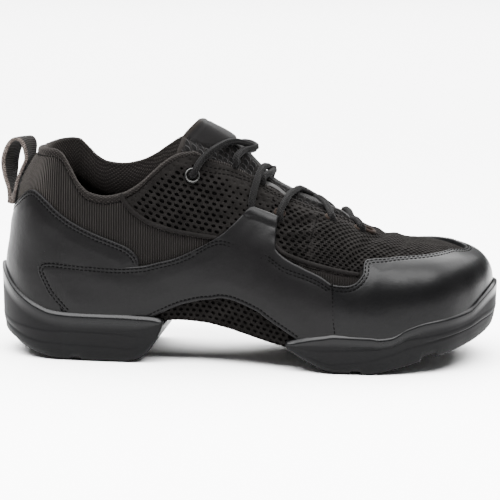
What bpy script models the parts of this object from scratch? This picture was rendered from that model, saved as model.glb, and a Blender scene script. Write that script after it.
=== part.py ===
"""Dance sneaker, right foot, with a split sole: heel cup and forefoot cup under one hollow upper.

The toe points to +X and the outer side of the foot to -Y. The shoe stands on Z = 0.
Every piece follows one function, upper_point, that gives the outer face of the upper.
"""
from math import acos, asin, cos, pi, radians, sin

import bmesh
import bpy
from mathutils import Vector

# Driving sizes, in metres
LENGTH = 0.256          # heel to toe over the soles
BALL_WIDTH = 0.0965     # over the forefoot sole at its widest
INSTEP = 0.105          # floor to the ridge of the instep
HEEL_HEIGHT = 0.107     # floor to the collar at the back

# Walls and thicknesses
WALL = 0.0022           # cloth of the upper with its lining
LEATHER = 0.0012        # counter and toe cap
BAND = 0.0014           # side bands
TONGUE = 0.0034         # padded tongue
INSOLE = 0.0025
LACE = 0.0035           # diameter of the lace
WEBBING = 0.0016        # thickness of the pull loop
WEBBING_WIDTH = 0.011

# Clearances
SEAT = 0.0004           # leather to upper
FIT = 0.0003            # any other two pieces that touch in the real shoe
SPLIT = 0.0006          # side band to counter, and side band to toe cap
TUCK = 0.0035           # leather below the lip of the soles
CUP_REACH = 0.0052      # depth of the room that the cups leave for the leather

# The tables count in parts: 256 to the length, 96.5 to the ball width, 105 to the instep
# height and 107 to the heel height
X = LENGTH / 256
W = BALL_WIDTH / 96.5
H = INSTEP / 105
C = HEEL_HEIGHT / 107

# Stations round the upper, in parts: toe tip, outer side, heel, inner side, toe tip
HEEL_PIVOT = 38
TOE_PIVOT = 212
TOE_ARC = 66
SIDE_RUN = TOE_PIVOT - HEEL_PIVOT
HEEL_ARC = 104
ROUND = 2 * (TOE_ARC + SIDE_RUN) + HEEL_ARC

# Sections of the last. Half widths from the centre line at the widest height of the upper.
LAST_COLUMNS = ("x", "outer", "inner", "feather", "belly", "ridge", "fullness")
LAST = (
    (2.5, 0, 0, 19.0, 33, 168, 2.0),
    (38, 31.0, 30.5, 18.0, 32, 168, 2.0),
    (60, 32.5, 31.0, 18.5, 32, 168, 2.0),
    (75, 33.0, 30.0, 20.0, 34, 164, 2.0),
    (88, 33.2, 28.5, 21.8, 37, 149, 2.0),
    (98, 33.5, 27.5, 22.3, 39, 131, 2.0),
    (110, 34.3, 27.2, 21.6, 40, 116.5, 2.0),
    (120, 35.5, 27.8, 19.8, 39, 110.5, 2.0),
    (130, 37.2, 29.5, 17.2, 36, 101.5, 2.0),
    (142, 39.5, 32.5, 13.9, 32, 90, 2.05),
    (158, 43.0, 37.5, 10.8, 28, 81.2, 2.1),
    (176, 45.6, 42.0, 9.5, 27, 73.4, 2.2),
    (192, 46.2, 44.5, 9.6, 27, 65.0, 2.3),
    (204, 44.9, 44.2, 10.6, 28, 61.6, 2.4),
    (212, 43.0, 43.2, 12.0, 29, 60.0, 2.5),
    (235, 24, 30, 17.5, 33, 60.0, 2.7),
    (251, 0, 0, 23.5, 37, 60.0, 2.7),
)

# Radius round the toe pivot, by angle from the toe line, outer side negative
TOE_COLUMNS = ("angle", "radius")
TOE_SIDE = 4.0          # the toe pivot lies this far to the inner side
TOE = ((-90, 47.0), (-80, 45.7), (-65, 43.6), (-45, 40.2), (-22, 38.5), (0, 38.8), (22, 39.9), (45, 40.6),
       (68, 40.0), (80, 39.1), (90, 39.2))
HEEL = ((0, 35.3), (45, 32.6), (90, 30.8))
TOE_SLOPE = 0.10        # fall of the vamp beyond the toe pivot

# How far the back of the heel leans in, by height
LEAN_COLUMNS = ("z", "lean")
LEAN = ((36, 0), (46, 0.5), (60, 2.0), (70, 2.6), (80, 3.4), (90, 5.6), (98, 9.6), (107, 16.5))

FEATHER_SHARE = ((2.5, 0.88), (80, 0.90), (120, 0.93), (180, 0.94), (252.5, 0.90))

# Collar, as heights along the shoe, and throat, as half widths
COLLAR_COLUMNS = ("x", "outer", "inner")
COLLAR = (
    (2.5, 106.5, 106.5),
    (30, 107.0, 109.0),
    (36, 105.0, 108.2),
    (41, 97.5, 102.5),
    (45.5, 89.8, 97.0),
    (51, 84.9, 93.8),
    (59, 83.3, 93.0),
    (68, 85.0, 94.6),
    (76, 89.3, 98.2),
    (84, 96.4, 103.6),
    (91, 102.2, 108.2),
    (98, 105.4, 110.8),
    (105, 106.0, 110.8),
)
THROAT_COLUMNS = ("x", "outer", "inner")
THROAT_TOP = 105
THROAT_FOOT = 189
THROAT = (
    (105, 21.0, 17.5),
    (110, 20.3, 17.2),
    (118, 19.6, 17.0),
    (126, 18.0, 16.0),
    (138, 14.4, 13.8),
    (150, 12.4, 12.0),
    (167, 10.2, 10.0),
    (179, 7.0, 7.0),
    (186, 3.8, 3.8),
    (189, 0.0, 0.0),
)

# Soles. The two cups stand this far out from the widest line of the upper.
STAND = 3.5
HEEL_FRONT = 89.5
FORE_REAR = 152.5
ARCH_REAR = 87
ARCH_FRONT = 152
SOLE_COLUMNS = ("x", "bottom", "lip", "low_rib", "high_rib")
HEEL_SOLE = (
    (-1, 14.0, 47.5, 0.10, 0.20),
    (4, 11.0, 42.5, 0.14, 0.26),
    (10, 7.6, 37.0, 0.18, 0.33),
    (16, 4.8, 33.0, 0.22, 0.42),
    (24, 2.4, 29.0, 0.26, 0.50),
    (31, 1.0, 26.5, 0.31, 0.56),
    (38, 0.2, 25.6, 0.33, 0.60),
    (43, 0.0, 25.4, 0.33, 0.61),
    (69, 0.0, 25.2, 0.29, 0.58),
    (76, 1.8, 24.9, 0.27, 0.52),
    (81, 5.6, 24.7, 0.27, 0.50),
    (85, 11.0, 24.3, 0.30, 0.52),
    (88, 17.0, 23.6, 0.32, 0.55),
    (89.5, 20.2, 22.9, 0.34, 0.60),
)
FORE_SOLE = (
    (152.5, 10.9, 15.6, 0.34, 0.60),
    (155, 9.9, 16.2, 0.32, 0.58),
    (160, 7.0, 17.6, 0.28, 0.52),
    (166, 3.8, 19.0, 0.25, 0.52),
    (172, 1.2, 20.0, 0.23, 0.56),
    (177, 0.0, 20.8, 0.24, 0.58),
    (195, 0.0, 20.6, 0.36, 0.64),
    (199, 0.6, 20.0, 0.40, 0.66),
    (205, 2.1, 20.6, 0.44, 0.68),
    (213, 4.2, 24.9, 0.44, 0.66),
    (222, 7.0, 27.9, 0.40, 0.58),
    (233, 9.8, 29.4, 0.42, 0.56),
    (243, 12.8, 31.4, 0.44, 0.55),
    (248, 14.6, 35.2, 0.40, 0.52),
    (253, 17.0, 39.2, 0.33, 0.45),
    (256, 18.6, 41.2, 0.28, 0.42),
)
# Side rows of a cup from the bottom up: what the height follows, share, shift, and stand-off
SIDE_COLUMNS = ("from", "share", "shift", "out")
SIDE_ROWS = (
    ("bottom", 0.00, 0.0, -4.0),
    ("bottom", 0.06, 0.0, -2.2),
    ("low_rib", 0.0, -0.5, -0.5),
    ("low_rib", 0.0, 0.5, -1.2),
    ("high_rib", 0.0, -0.5, 0.2),
    ("high_rib", 0.0, 0.5, -0.6),
    ("lip", -0.15, 0.0, 0.0),
    ("lip", -0.03, 0.0, -0.7),
)
END_SHARES = (0.02, 0.5, 0.98)
END_RUN = 14.0          # how far the inside of a cup's open end is pulled in
BED_END = 4.0           # the footbed of a cup ends this far before the cup does
BUMPER = 1.9            # how much further the sole stands out at the toe tip
# Grooves across the tread: middle, half width along the shoe, depth
TREAD_COLUMNS = ("x", "half", "depth")
TREAD = ((42, 3.0, 1.0), (187.5, 2.6, 1.5), (223.5, 3.6, 2.2))


def row_of(table, columns, name):
    """The pairs of the first column and the named one."""
    k = columns.index(name)
    return [(row[0], row[k]) for row in table]


def smooth(points, x):
    """Height at x of a smooth curve through the points, without overshoot."""
    if x <= points[0][0]:
        return points[0][1]
    if x >= points[-1][0]:
        return points[-1][1]
    k = 0
    while points[k + 1][0] < x:
        k += 1
    steps = [(b[1] - a[1]) / (b[0] - a[0]) for a, b in zip(points, points[1:])]

    def slope(i):
        if i == 0 or i == len(points) - 1:
            return steps[0 if i == 0 else -1]
        a, b = steps[i - 1], steps[i]
        return 2 * a * b / (a + b) if a * b > 0 else 0

    (x0, y0), (x1, y1) = points[k], points[k + 1]
    d = x1 - x0
    u = (x - x0) / d
    return (y0 * (1 + 2 * u) * (1 - u) ** 2 + y1 * u * u * (3 - 2 * u)
            + d * u * (1 - u) * (slope(k) * (1 - u) - slope(k + 1) * u))


LAST_CURVES = {name: row_of(LAST, LAST_COLUMNS, name) for name in LAST_COLUMNS}
COLLAR_CURVES = {name: row_of(COLLAR, COLLAR_COLUMNS, name) for name in COLLAR_COLUMNS}
THROAT_CURVES = {name: row_of(THROAT, THROAT_COLUMNS, name) for name in THROAT_COLUMNS}


def last(name, x):
    return smooth(LAST_CURVES[name], x)


def step_between(a, b, x):
    """0 before a, 1 after b, smooth between."""
    u = min(1, max(0, (x - a) / (b - a)))
    return u * u * (3 - 2 * u)


def centre_line(x):
    return TOE_SIDE * step_between(HEEL_PIVOT, TOE_PIVOT, x)


def station(s):
    """Spine point, direction outwards, radius, place along the shoe and side, in parts."""
    s = s % ROUND
    side = -1 if s <= ROUND / 2 else 1
    half = s if side < 0 else ROUND - s
    if half < TOE_ARC:
        angle = side * 90 * half / TOE_ARC
        radius = smooth(TOE, angle)
        spine = (TOE_PIVOT, TOE_SIDE)
    elif half < TOE_ARC + SIDE_RUN:
        angle = side * 90
        x = TOE_PIVOT - (half - TOE_ARC)
        spine = (x, centre_line(x))
        radius = last("outer", x) + spine[1] if side < 0 else last("inner", x) - spine[1]
    else:
        back = 90 * (1 - (half - TOE_ARC - SIDE_RUN) / (HEEL_ARC / 2))
        angle = side * (180 - back)
        spine = (HEEL_PIVOT, 0)
        radius = smooth(HEEL, back)
    way = (cos(radians(angle)), sin(radians(angle)))
    return spine, way, radius, spine[0] + way[0] * radius, side


def side_station(x, side):
    """Station on a long side at x, in parts."""
    half = TOE_ARC + TOE_PIVOT - x
    return half if side < 0 else ROUND - half


def levels(s):
    """Feather, belly and ridge heights and fullness at a station, in parts of the instep."""
    spine, way, radius, x, side = station(s)
    ridge_x = spine[0]
    return last("feather", x), last("belly", x), last("ridge", ridge_x), last("fullness", x)


def raw_point(s, phi):
    """Point of the outer face. phi runs from -90 degrees at the feather to 90 at the ridge."""
    spine, way, radius, x, side = station(s)
    feather, belly, ridge, full = levels(s)
    if phi < 0:
        share = smooth(FEATHER_SHARE, x)
        rho = share + (1 - share) * cos(phi)
        z = belly + (belly - feather) * sin(phi)
    else:
        rho = max(0.0, cos(phi)) ** (2 / full)
        z = belly + (ridge - belly) * max(0.0, sin(phi)) ** (2 / full)
    reach = radius * rho
    if spine[0] <= HEEL_PIVOT:
        reach -= smooth(LEAN, z * H / C) * way[0] ** 2
    px = spine[0] + way[0] * reach
    py = spine[1] + way[1] * reach
    if px > TOE_PIVOT:
        z -= TOE_SLOPE * (px - TOE_PIVOT) * max(0.0, sin(phi)) ** 2
    return Vector((px * X, py * W, z * H))


def upper_point(s, phi, out=0.0):
    """Point at a distance outside the outer face, in metres."""
    p = raw_point(s, phi)
    if out == 0.0:
        return p
    ds, dp = 0.5, 0.01
    along = raw_point(s + ds, phi) - raw_point(s - ds, phi)
    rise = raw_point(s, min(phi + dp, pi / 2)) - raw_point(s, max(phi - dp, -pi / 2))
    normal = along.cross(rise)
    way = station(s)[1]
    outwards = Vector((way[0] * cos(phi), way[1] * cos(phi), sin(phi)))
    if phi > pi / 2 - 0.02 or normal.length < 1e-12:
        normal = Vector((0.1, 0, 1))
    elif phi < -pi / 2 + 0.02:
        normal = Vector((0, 0, -1))
    elif normal.dot(outwards) < 0:
        normal = -normal
    normal.normalize()
    return p + normal * out


def phi_at_height(s, z):
    """The angle at which a station's profile reaches a height, in parts of the instep."""
    feather, belly, ridge, full = levels(s)
    if z < belly:
        return -asin(min(1, (belly - z) / (belly - feather)))
    return asin(min(1, (z - belly) / (ridge - belly)) ** (full / 2))


def phi_edge(s):
    """The angle of the collar or throat edge at a station."""
    spine, way, radius, x, side = station(s)
    name = "outer" if side < 0 else "inner"
    if spine[0] >= THROAT_FOOT:
        return pi / 2
    full = levels(s)[3]
    at_collar = phi_at_height(s, smooth(COLLAR_CURVES[name], x) * C / H)
    half = smooth(THROAT_CURVES[name], x)
    rho = min(1, half / radius)
    at_throat = acos(rho ** (full / 2))
    return at_collar + (at_throat - at_collar) * step_between(THROAT_TOP - 4, THROAT_TOP + 4, spine[0])


class Shell:
    """Points and faces of one piece while it is put together."""

    def __init__(self):
        self.points = []
        self.faces = []

    def add(self, p):
        self.points.append(Vector(p))
        return len(self.points) - 1

    def line(self, points):
        return [self.add(p) for p in points]

    def band(self, a, b, closed=False):
        """Quads between two lines of the same length."""
        n = len(a)
        for i in range(n if closed else n - 1):
            j = (i + 1) % n
            self.faces.append((a[i], a[j], b[j], b[i]))

    def mesh(self, name, open_sheet=False, weld=0.00002):
        """The piece as a mesh; an open sheet is turned to face away from its middle."""
        bm = bmesh.new()
        verts = [bm.verts.new(p) for p in self.points]
        for face in self.faces:
            if len(set(face)) > 2:
                bm.faces.new([verts[i] for i in dict.fromkeys(face)])
        bmesh.ops.remove_doubles(bm, verts=bm.verts, dist=weld)
        bmesh.ops.dissolve_degenerate(bm, edges=bm.edges, dist=1e-6)
        bmesh.ops.recalc_face_normals(bm, faces=bm.faces)
        if open_sheet:
            middle = sum((v.co for v in bm.verts), Vector()) / len(bm.verts)
            facing = sum(f.normal.dot(f.calc_center_median() - middle) * f.calc_area() for f in bm.faces)
        else:
            facing = bm.calc_volume(signed=True)
        if facing < 0:
            bmesh.ops.reverse_faces(bm, faces=bm.faces)
        mesh = bpy.data.meshes.new(name)
        bm.to_mesh(mesh)
        bm.free()
        return mesh


def clear_scene():
    for ob in list(bpy.data.objects):
        bpy.data.objects.remove(ob, do_unlink=True)


def collection(name):
    made = bpy.data.collections.new(name)
    bpy.context.scene.collection.children.link(made)
    return made


def material(name, colour, roughness, metallic=0.0):
    made = bpy.data.materials.new(name)
    made.use_nodes = True
    surface = made.node_tree.nodes["Principled BSDF"]
    surface.inputs["Base Color"].default_value = (*colour, 1)
    surface.inputs["Roughness"].default_value = roughness
    surface.inputs["Metallic"].default_value = metallic
    made.diffuse_color = (*colour, 1)
    return made


def place(name, mesh, group, surface=None):
    ob = bpy.data.objects.new(name, mesh)
    group.objects.link(ob)
    if surface:
        mesh.materials.clear()
        mesh.materials.append(surface)
    for face in mesh.polygons:
        face.use_smooth = True
    return ob


def finish(ob):
    """Turn the modifiers of a piece into its mesh."""
    graph = bpy.context.evaluated_depsgraph_get()
    baked = bpy.data.meshes.new_from_object(ob.evaluated_get(graph), depsgraph=graph)
    ob.modifiers.clear()
    ob.data = baked
    return ob


def solidify(ob, thickness):
    thick = ob.modifiers.new("thickness", "SOLIDIFY")
    thick.thickness = thickness
    thick.offset = -1
    thick.use_even_offset = True
    return finish(ob)


def boolean(ob, cutter, operation):
    cut = ob.modifiers.new("cut", "BOOLEAN")
    cut.object = cutter
    cut.operation = operation
    cut.solver = "EXACT"
    return finish(ob)


def keep_cutter(ob, cutters):
    for group in list(ob.users_collection):
        group.objects.unlink(ob)
    cutters.objects.link(ob)
    ob.hide_render = True
    ob.display_type = "WIRE"


def station_list():
    """Stations round the upper, closer at the toe, with the throat's foot and arch ends kept."""
    toe = [TOE_ARC * k / 9 for k in range(9)]
    sides = (212, 204, 196, 189, 187, 183, 177, 169, 160.5, 152, 144.5, 137, 129.5, 122, 115, 109, 104.5, 100.5, 95,
             87, 79.5, 72, 64.5, 57, 51, 46.5, 42.5)
    outer = toe + [TOE_ARC + TOE_PIVOT - x for x in sides]
    heel = [TOE_ARC + SIDE_RUN + HEEL_ARC * k / 12 for k in range(13)]
    inner = [ROUND - s for s in reversed(outer[1:])]
    return outer + heel + inner


LOW_ROWS = (-90, -42)
HIGH_SHARES = (0.05, 0.22, 0.40, 0.58, 0.75, 0.91, 1.0)


def row_angles(s):
    """Angles of the upper's rows at a station, from the feather line to its edge."""
    edge = phi_edge(s)
    return [radians(a) for a in LOW_ROWS] + [edge * u for u in HIGH_SHARES]


def upper_mesh():
    shell = Shell()
    stations = station_list()
    lines = []
    for s in stations:
        lines.append(shell.line(raw_point(s, phi) for phi in row_angles(s)))
    for k, line in enumerate(lines):
        shell.band(line, lines[(k + 1) % len(lines)])
    arch = [k for k, s in enumerate(stations) if s < ROUND / 2 and ARCH_REAR <= station(s)[0][0] <= ARCH_FRONT]
    count = len(stations)
    across = 4
    ladders = []
    for k in arch:
        a, b = lines[k][0], lines[(count - k) % count][0]
        pa, pb = shell.points[a], shell.points[b]
        ladders.append([a] + shell.line(pa.lerp(pb, j / across) for j in range(1, across)) + [b])
    for a, b in zip(ladders, ladders[1:]):
        shell.band(a, b)
    return shell.mesh("upper", open_sheet=True)


def main_upper(group, surface):
    ob = place("upper", upper_mesh(), group, surface)
    return solidify(ob, WALL)


# Leather panels, each the meeting of a shell round the upper and an outline seen from the side
def outline_cutter(name, outline, y0, y1, cutters):
    """A prism across the shoe with an outline seen from the side, in metres."""
    shell = Shell()
    a = shell.line(Vector((x, y0, z)) for x, z in outline)
    b = shell.line(Vector((x, y1, z)) for x, z in outline)
    shell.band(a, b, closed=True)
    shell.faces.append(tuple(a))
    shell.faces.append(tuple(reversed(b)))
    ob = place(name, shell.mesh(name), cutters)
    keep_cutter(ob, cutters)
    return ob


def rounded(outline, steps=2):
    """A smooth closed line through the outline's points; a repeated point stays sharp."""
    made = []
    n = len(outline)
    for i in range(n):
        p0, p1, p2, p3 = (Vector(outline[(i + k) % n]) for k in (-1, 0, 1, 2))
        if (p2 - p1).length < 1e-9:
            made.append(p1)
            continue
        in_way = (p2 - p0) / 2 if (p1 - p0).length > 1e-9 else (p2 - p1)
        out_way = (p3 - p1) / 2 if (p3 - p2).length > 1e-9 else (p2 - p1)
        long = (p2 - p1).length
        in_way = in_way.normalized() * long
        out_way = out_way.normalized() * long
        count = steps if long > 0.0075 else 1
        for k in range(count):
            u = k / count
            made.append(p1 * (1 + 2 * u) * (1 - u) ** 2 + p2 * u * u * (3 - 2 * u)
                        + in_way * u * (1 - u) ** 2 - out_way * u * u * (1 - u))
    clean = []
    for p in made:
        if not clean or (p - clean[-1]).length > 1e-5:
            clean.append(p)
    return [(p.x, p.y) for p in clean]


def parts(outline):
    """An outline from parts of the length and of the instep to metres."""
    return [(x * X, z * H) for x, z in outline]


# Outlines seen from the side, in parts of the length and of the instep
BAND_TOP = ((26.5, 50.8), (31.8, 51.2), (43, 50.4), (55.5, 49.6), (68, 49.3), (77.7, 50.0), (88, 52.4), (94.3, 54.0),
            (103.9, 58.0), (110.5, 61.2), (117.4, 65.4))
TAB = ((120.5, 67.4), (126.0, 72.8), (130.4, 77.4), (133.2, 79.7), (133.2, 79.7), (146.5, 74.3), (146.5, 74.3),
       (146.3, 67.8), (146.6, 60.4))
BAND_FRONT = ((148.7, 57.9), (155.4, 53.9), (162.0, 51.1), (169.6, 48.0), (176.0, 43.9))
WINDOW = ((158.3, 16.6), (153.9, 19.6), (145.5, 24.5), (137.2, 30.0), (129.4, 33.2), (124.2, 34.7), (120.4, 35.1),
          (114.7, 34.3), (103.7, 32.4), (97.5, 30.6), (89.4, 27.0), (84.1, 24.4), (80, 21.5))
BAND_REAR = ((36.0, 27.6), (29.8, 35.0), (26.4, 43.4), (25.0, 48.4))
COUNTER_TOP = ((76.3, 54.6), (71.0, 59.4), (63.9, 62.2), (51.5, 66.9), (41.4, 72.0), (34.4, 77.1),
               (27.1, 83.7), (22.4, 86.2), (16.8, 84.0), (8.4, 76.0), (0, 74.5))
CAP_TOP = ((183.1, 43.6), (187.5, 45.4), (190.1, 48.8), (190.0, 52.1), (191.4, 54.4), (199.4, 54.7), (211.5, 55.1),
           (221.6, 55.6), (231.7, 55.9), (240, 55.2))


def band_outline():
    """Side band: top edge with its tab, seam to the toe cap, arch window and rounded rear end."""
    front = (176.0, 43.9)
    low_front = (178.9, 11)
    under = (159.5, 11)
    rear_under = (78, 17)
    rear_low = (40, 17)
    line = list(BAND_TOP) + list(TAB) + list(BAND_FRONT)
    line += [front, low_front, low_front, under, under]
    line += list(WINDOW)
    line += [rear_under, rear_under, rear_low, rear_low]
    line += list(BAND_REAR)
    return rounded(parts(line))


def counter_outline():
    """Counter: the lobe over the band, the back, and its lower edge a split away from the band."""
    gap = SPLIT / H
    line = [(BAND_REAR[0][0] - 1.2 * SPLIT / X, 17)] * 2
    line += [(x - 1.0 * SPLIT / X - (0.3 if k == 0 else 0), z - (0.5 * gap if k == 0 else 0))
             for k, (x, z) in enumerate(BAND_REAR)]
    line += [(x - (0.4 if k == 0 else 0), z + gap) for k, (x, z) in enumerate(BAND_TOP[:5])]
    line += [(76.8, 49.9 + gap)] * 2
    line += list(COUNTER_TOP)
    line += [(-12, 74.5)] * 2 + [(-12, 17)] * 2
    return rounded(parts(line))


def cap_outline():
    """Toe cap: the seam to the band, the notch and the long top edge."""
    gap = SPLIT / X
    line = [(178.9 + gap, 11)] * 2
    line += [(176.0 + gap, 43.9)] * 2
    line += list(CAP_TOP)
    line += [(262, 54.5)] * 2 + [(262, 11)] * 2
    return rounded(parts(line))


def lip_height(x):
    """Height of the lip of the cup that holds the upper at x, in parts of the instep."""
    if x < (HEEL_FRONT + FORE_REAR) / 2:
        return smooth(row_of(HEEL_SOLE, SOLE_COLUMNS, "lip"), x)
    return smooth(row_of(FORE_SOLE, SOLE_COLUMNS, "lip"), x)


def panel_strip(name, stations, out, top):
    """Sheet on the upper's own rows, from just below the lip of the soles to a height."""
    shell = Shell()
    lines = []
    for s in stations:
        spine, way, radius, x, side = station(s)
        feather = levels(s)[0]
        foot = max(feather + 1.0, lip_height(x) - TUCK / H)
        if HEEL_FRONT < x < FORE_REAR:
            foot = feather + 2.0
        low = phi_at_height(s, foot)
        high = min(phi_at_height(s, top(x)), phi_edge(s) - 0.03)
        phis = [low] + [min(high, max(low, phi)) for phi in row_angles(s)[1:-1]] + [high]
        lines.append(shell.line(upper_point(s, phi, out) for phi in phis))
    for a, b in zip(lines, lines[1:]):
        shell.band(a, b)
    return shell.mesh(name, open_sheet=True)


def leather(name, stations, thickness, top, outline, group, cutters, surface):
    """A panel: the sheet given its thickness, then kept only inside the outline."""
    ob = place(name, panel_strip(name, stations, SEAT + thickness, top), group, surface)
    solidify(ob, thickness)
    cutter = outline_cutter(name + "_outline", outline, -BALL_WIDTH, BALL_WIDTH, cutters)
    return boolean(ob, cutter, "INTERSECT")


def stations_between(a, b):
    """The upper's own stations from a to b, which may run past the toe tip."""
    turned_back = [s - ROUND for s in station_list() if s > ROUND / 2]
    return [s for s in turned_back + station_list() if a - 0.01 <= s <= b + 0.01]


def main_leather(group, cutters, surface):
    toe_end = side_station(169, -1)
    leather("toe_cap", stations_between(-toe_end, toe_end), LEATHER, lambda x: 58, cap_outline(),
            group, cutters, surface)
    heel_start = side_station(79.5, -1)
    leather("heel_counter", stations_between(heel_start, ROUND - heel_start), LEATHER, lambda x: 90,
            counter_outline(), group, cutters, surface)
    band_start = side_station(183, -1)
    band_end = TOE_ARC + SIDE_RUN + HEEL_ARC * 0.25

    def top(x):
        return 60 + 24 * step_between(108, 124, x) - 30 * step_between(150, 172, x)

    leather("side_band_outer", stations_between(band_start, band_end), BAND, top, band_outline(),
            group, cutters, surface)
    leather("side_band_inner", stations_between(ROUND - band_end, ROUND - band_start), BAND, top, band_outline(),
            group, cutters, surface)


# Rubber cups
def cup_stations(unit):
    """Stations of a cup along the outer side, round its end, and back along the inner side."""
    if unit == "heel":
        along = (89.2, 87, 83.3, 79.5, 75.5, 72, 64.5, 57, 46.5)
        start = [side_station(x, -1) for x in along]
        return start + stations_between(side_station(HEEL_PIVOT, -1), side_station(HEEL_PIVOT, 1)) + [
            ROUND - s for s in reversed(start)]
    along = (152.8, 154.6, 157, 160.5, 165, 170, 177, 187, 195, 204)
    start = [-side_station(x, -1) for x in along]
    return start + stations_between(-TOE_ARC, TOE_ARC) + [-s for s in reversed(start)]


def cup_mesh(unit):
    """A cup: tread, ribbed side, lip, inner wall against the leather, and footbed."""
    heel = unit == "heel"
    table = HEEL_SOLE if heel else FORE_SOLE
    curves = {name: row_of(table, SOLE_COLUMNS, name) for name in SOLE_COLUMNS}
    stations = cup_stations(unit)
    front = HEEL_FRONT if heel else FORE_REAR
    toward = 1 if heel else -1
    shell = Shell()
    across = len(END_SHARES) + 1

    def outer(s, out, name, share, shift):
        spine, way, radius, x, side = station(s)
        bumper = 0 if heel or spine[0] < TOE_PIVOT else BUMPER * way[0] ** 2
        reach = radius + STAND + bumper + out
        px = spine[0] + way[0] * reach
        py = spine[1] + way[1] * reach
        bottom, lip = smooth(curves["bottom"], px), smooth(curves["lip"], px)
        tall = lip - bottom
        if name == "bottom":
            z = bottom + share * tall
        elif name == "lip":
            z = lip + share * tall
        else:
            z = bottom + smooth(curves[name], px) * tall + shift * min(1, tall / 18)
        return Vector((px * X, py * W, z * H))

    def ladder(loop, height):
        """Close a loop with quads across the shoe, at heights given by a function."""
        n = len(stations)
        half = n // 2
        ribs = []
        for i in range(half):
            a, b = loop[i], loop[n - 1 - i]
            if i == 0:
                ribs.append([a] + list(reversed(loop[n:])) + [b])
                continue
            pa, pb = shell.points[a], shell.points[b]
            inner = []
            for j in range(1, across):
                p = pa.lerp(pb, j / across)
                p.z = height(p, pa, pb, j / across)
                inner.append(shell.add(p))
            ribs.append([a] + inner + [b])
        for a, b in zip(ribs, ribs[1:]):
            shell.band(a, b)
        if n % 2:
            tip = loop[half]
            rib = ribs[-1]
            for a, b in zip(rib, rib[1:]):
                shell.faces.append((a, b, tip))

    def loop_of(points, rise=1.0):
        """A loop of a row: the stations' points and, below the feather line, those of the open end."""
        middle = (points[0] + points[-1]) / 2
        low = smooth(curves["bottom"], front)
        high = last("feather", front) - 0.5
        end = []
        for u in END_SHARES:
            p = points[-1].lerp(points[0], u)
            if rise is not None:
                outer_share = u if heel else 1 - u
                p.y = (last("inner", front) * (1 - outer_share) - last("outer", front) * outer_share) * W
                p.z = (low + (high - low) * rise) * H
            p.x = middle.x + 3.2 * X * toward * u * (1 - u)
            end.append(p)
        return shell.line(points + end)

    rows = []
    for k, (name, share, shift, out) in enumerate(SIDE_ROWS):
        rise = k / (len(SIDE_ROWS) - 0.5)
        rows.append(loop_of([outer(s, out, name, share, shift) for s in stations], rise))

    def pulled(s, inset):
        """A station moved in from the open end by up to an inset, in parts."""
        spine, way, radius, x, side = station(s)
        left = abs(front - spine[0])
        if left >= END_RUN:
            return s
        return side_station(front - toward * (inset + left * (1 - inset / END_RUN)), side)

    def inner_wall(drop, out, inset, highest=pi / 2):
        """Row along the outer face of the upper at a drop below the lip, or at a lower angle."""
        made = []
        for at in stations:
            s = pulled(at, inset)
            feather = levels(s)[0]
            z = max(feather + 0.6, smooth(curves["lip"], station(s)[3]) - drop)
            made.append(upper_point(s, min(phi_at_height(s, z), highest), out))
        return loop_of(made)

    room = SEAT + BAND + FIT * 1.6
    deep = (CUP_REACH + 0.0012) / H
    rows.append(inner_wall(0.0, room, 1.5))
    rows.append(inner_wall(CUP_REACH / H, room, 2.0))
    rows.append(inner_wall(deep, FIT * 1.9, 2.2))
    rows.append(inner_wall(deep, FIT * 1.9, 2.2, radians(LOW_ROWS[1])))

    def under_rim(inside, lift, inset):
        """Row at a distance inside the feather line, in parts, lifted from it."""
        made = []
        for at in stations:
            s = pulled(at, inset)
            spine, way, radius, x, side = station(s)
            reach = radius * smooth(FEATHER_SHARE, x) - inside
            feather = levels(s)[0]
            made.append((((spine[0] + way[0] * reach) * X, (spine[1] + way[1] * reach) * W, feather * H + lift)))
        return loop_of([Vector(p) for p in made], None)

    rim = WALL / W + 0.6
    rows.append(under_rim(-0.6, -FIT * 1.6, 2.4))
    rows.append(under_rim(rim, -FIT * 1.6, BED_END - 0.2))
    rows.append(under_rim(rim + 0.3, WALL - 0.0001, BED_END))
    for a, b in zip(rows, rows[1:]):
        shell.band(a, b, closed=True)

    def tread(p, pa, pb, u):
        return smooth(curves["bottom"], p.x / X) * H

    def bed(p, pa, pb, u):
        return pa.z + (pb.z - pa.z) * u

    ladder(rows[0], tread)
    ladder(rows[-1], bed)
    return shell.mesh(unit + "_sole")


def tread_cutter(name, x, half, depth, cutters):
    """A bar across the tread, for one groove."""
    shell = Shell()
    tall = 0.5 * depth * H
    for z in (-0.02, tall * 2):
        shell.line(Vector(((x + dx) * X, y * W, z)) for dx, y in ((-half, -60), (half, -60), (half, 60), (-half, 60)))
    shell.band([0, 1, 2, 3], [4, 5, 6, 7], closed=True)
    shell.faces += [(0, 1, 2, 3), (4, 5, 6, 7)]
    ob = place(name, shell.mesh(name), cutters)
    keep_cutter(ob, cutters)
    return ob


def main_soles(group, cutters, surface):
    heel = place("heel_sole", cup_mesh("heel"), group, surface)
    fore = place("forefoot_sole", cup_mesh("fore"), group, surface)
    for k, (x, half, depth) in enumerate(TREAD):
        table = HEEL_SOLE if x < HEEL_FRONT else FORE_SOLE
        depth += smooth(row_of(table, SOLE_COLUMNS, "bottom"), x)
        cutter = tread_cutter("tread_groove_%d" % (k + 1), x, half, depth, cutters)
        boolean(heel if x < HEEL_FRONT else fore, cutter, "DIFFERENCE")
    return heel, fore


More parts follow.
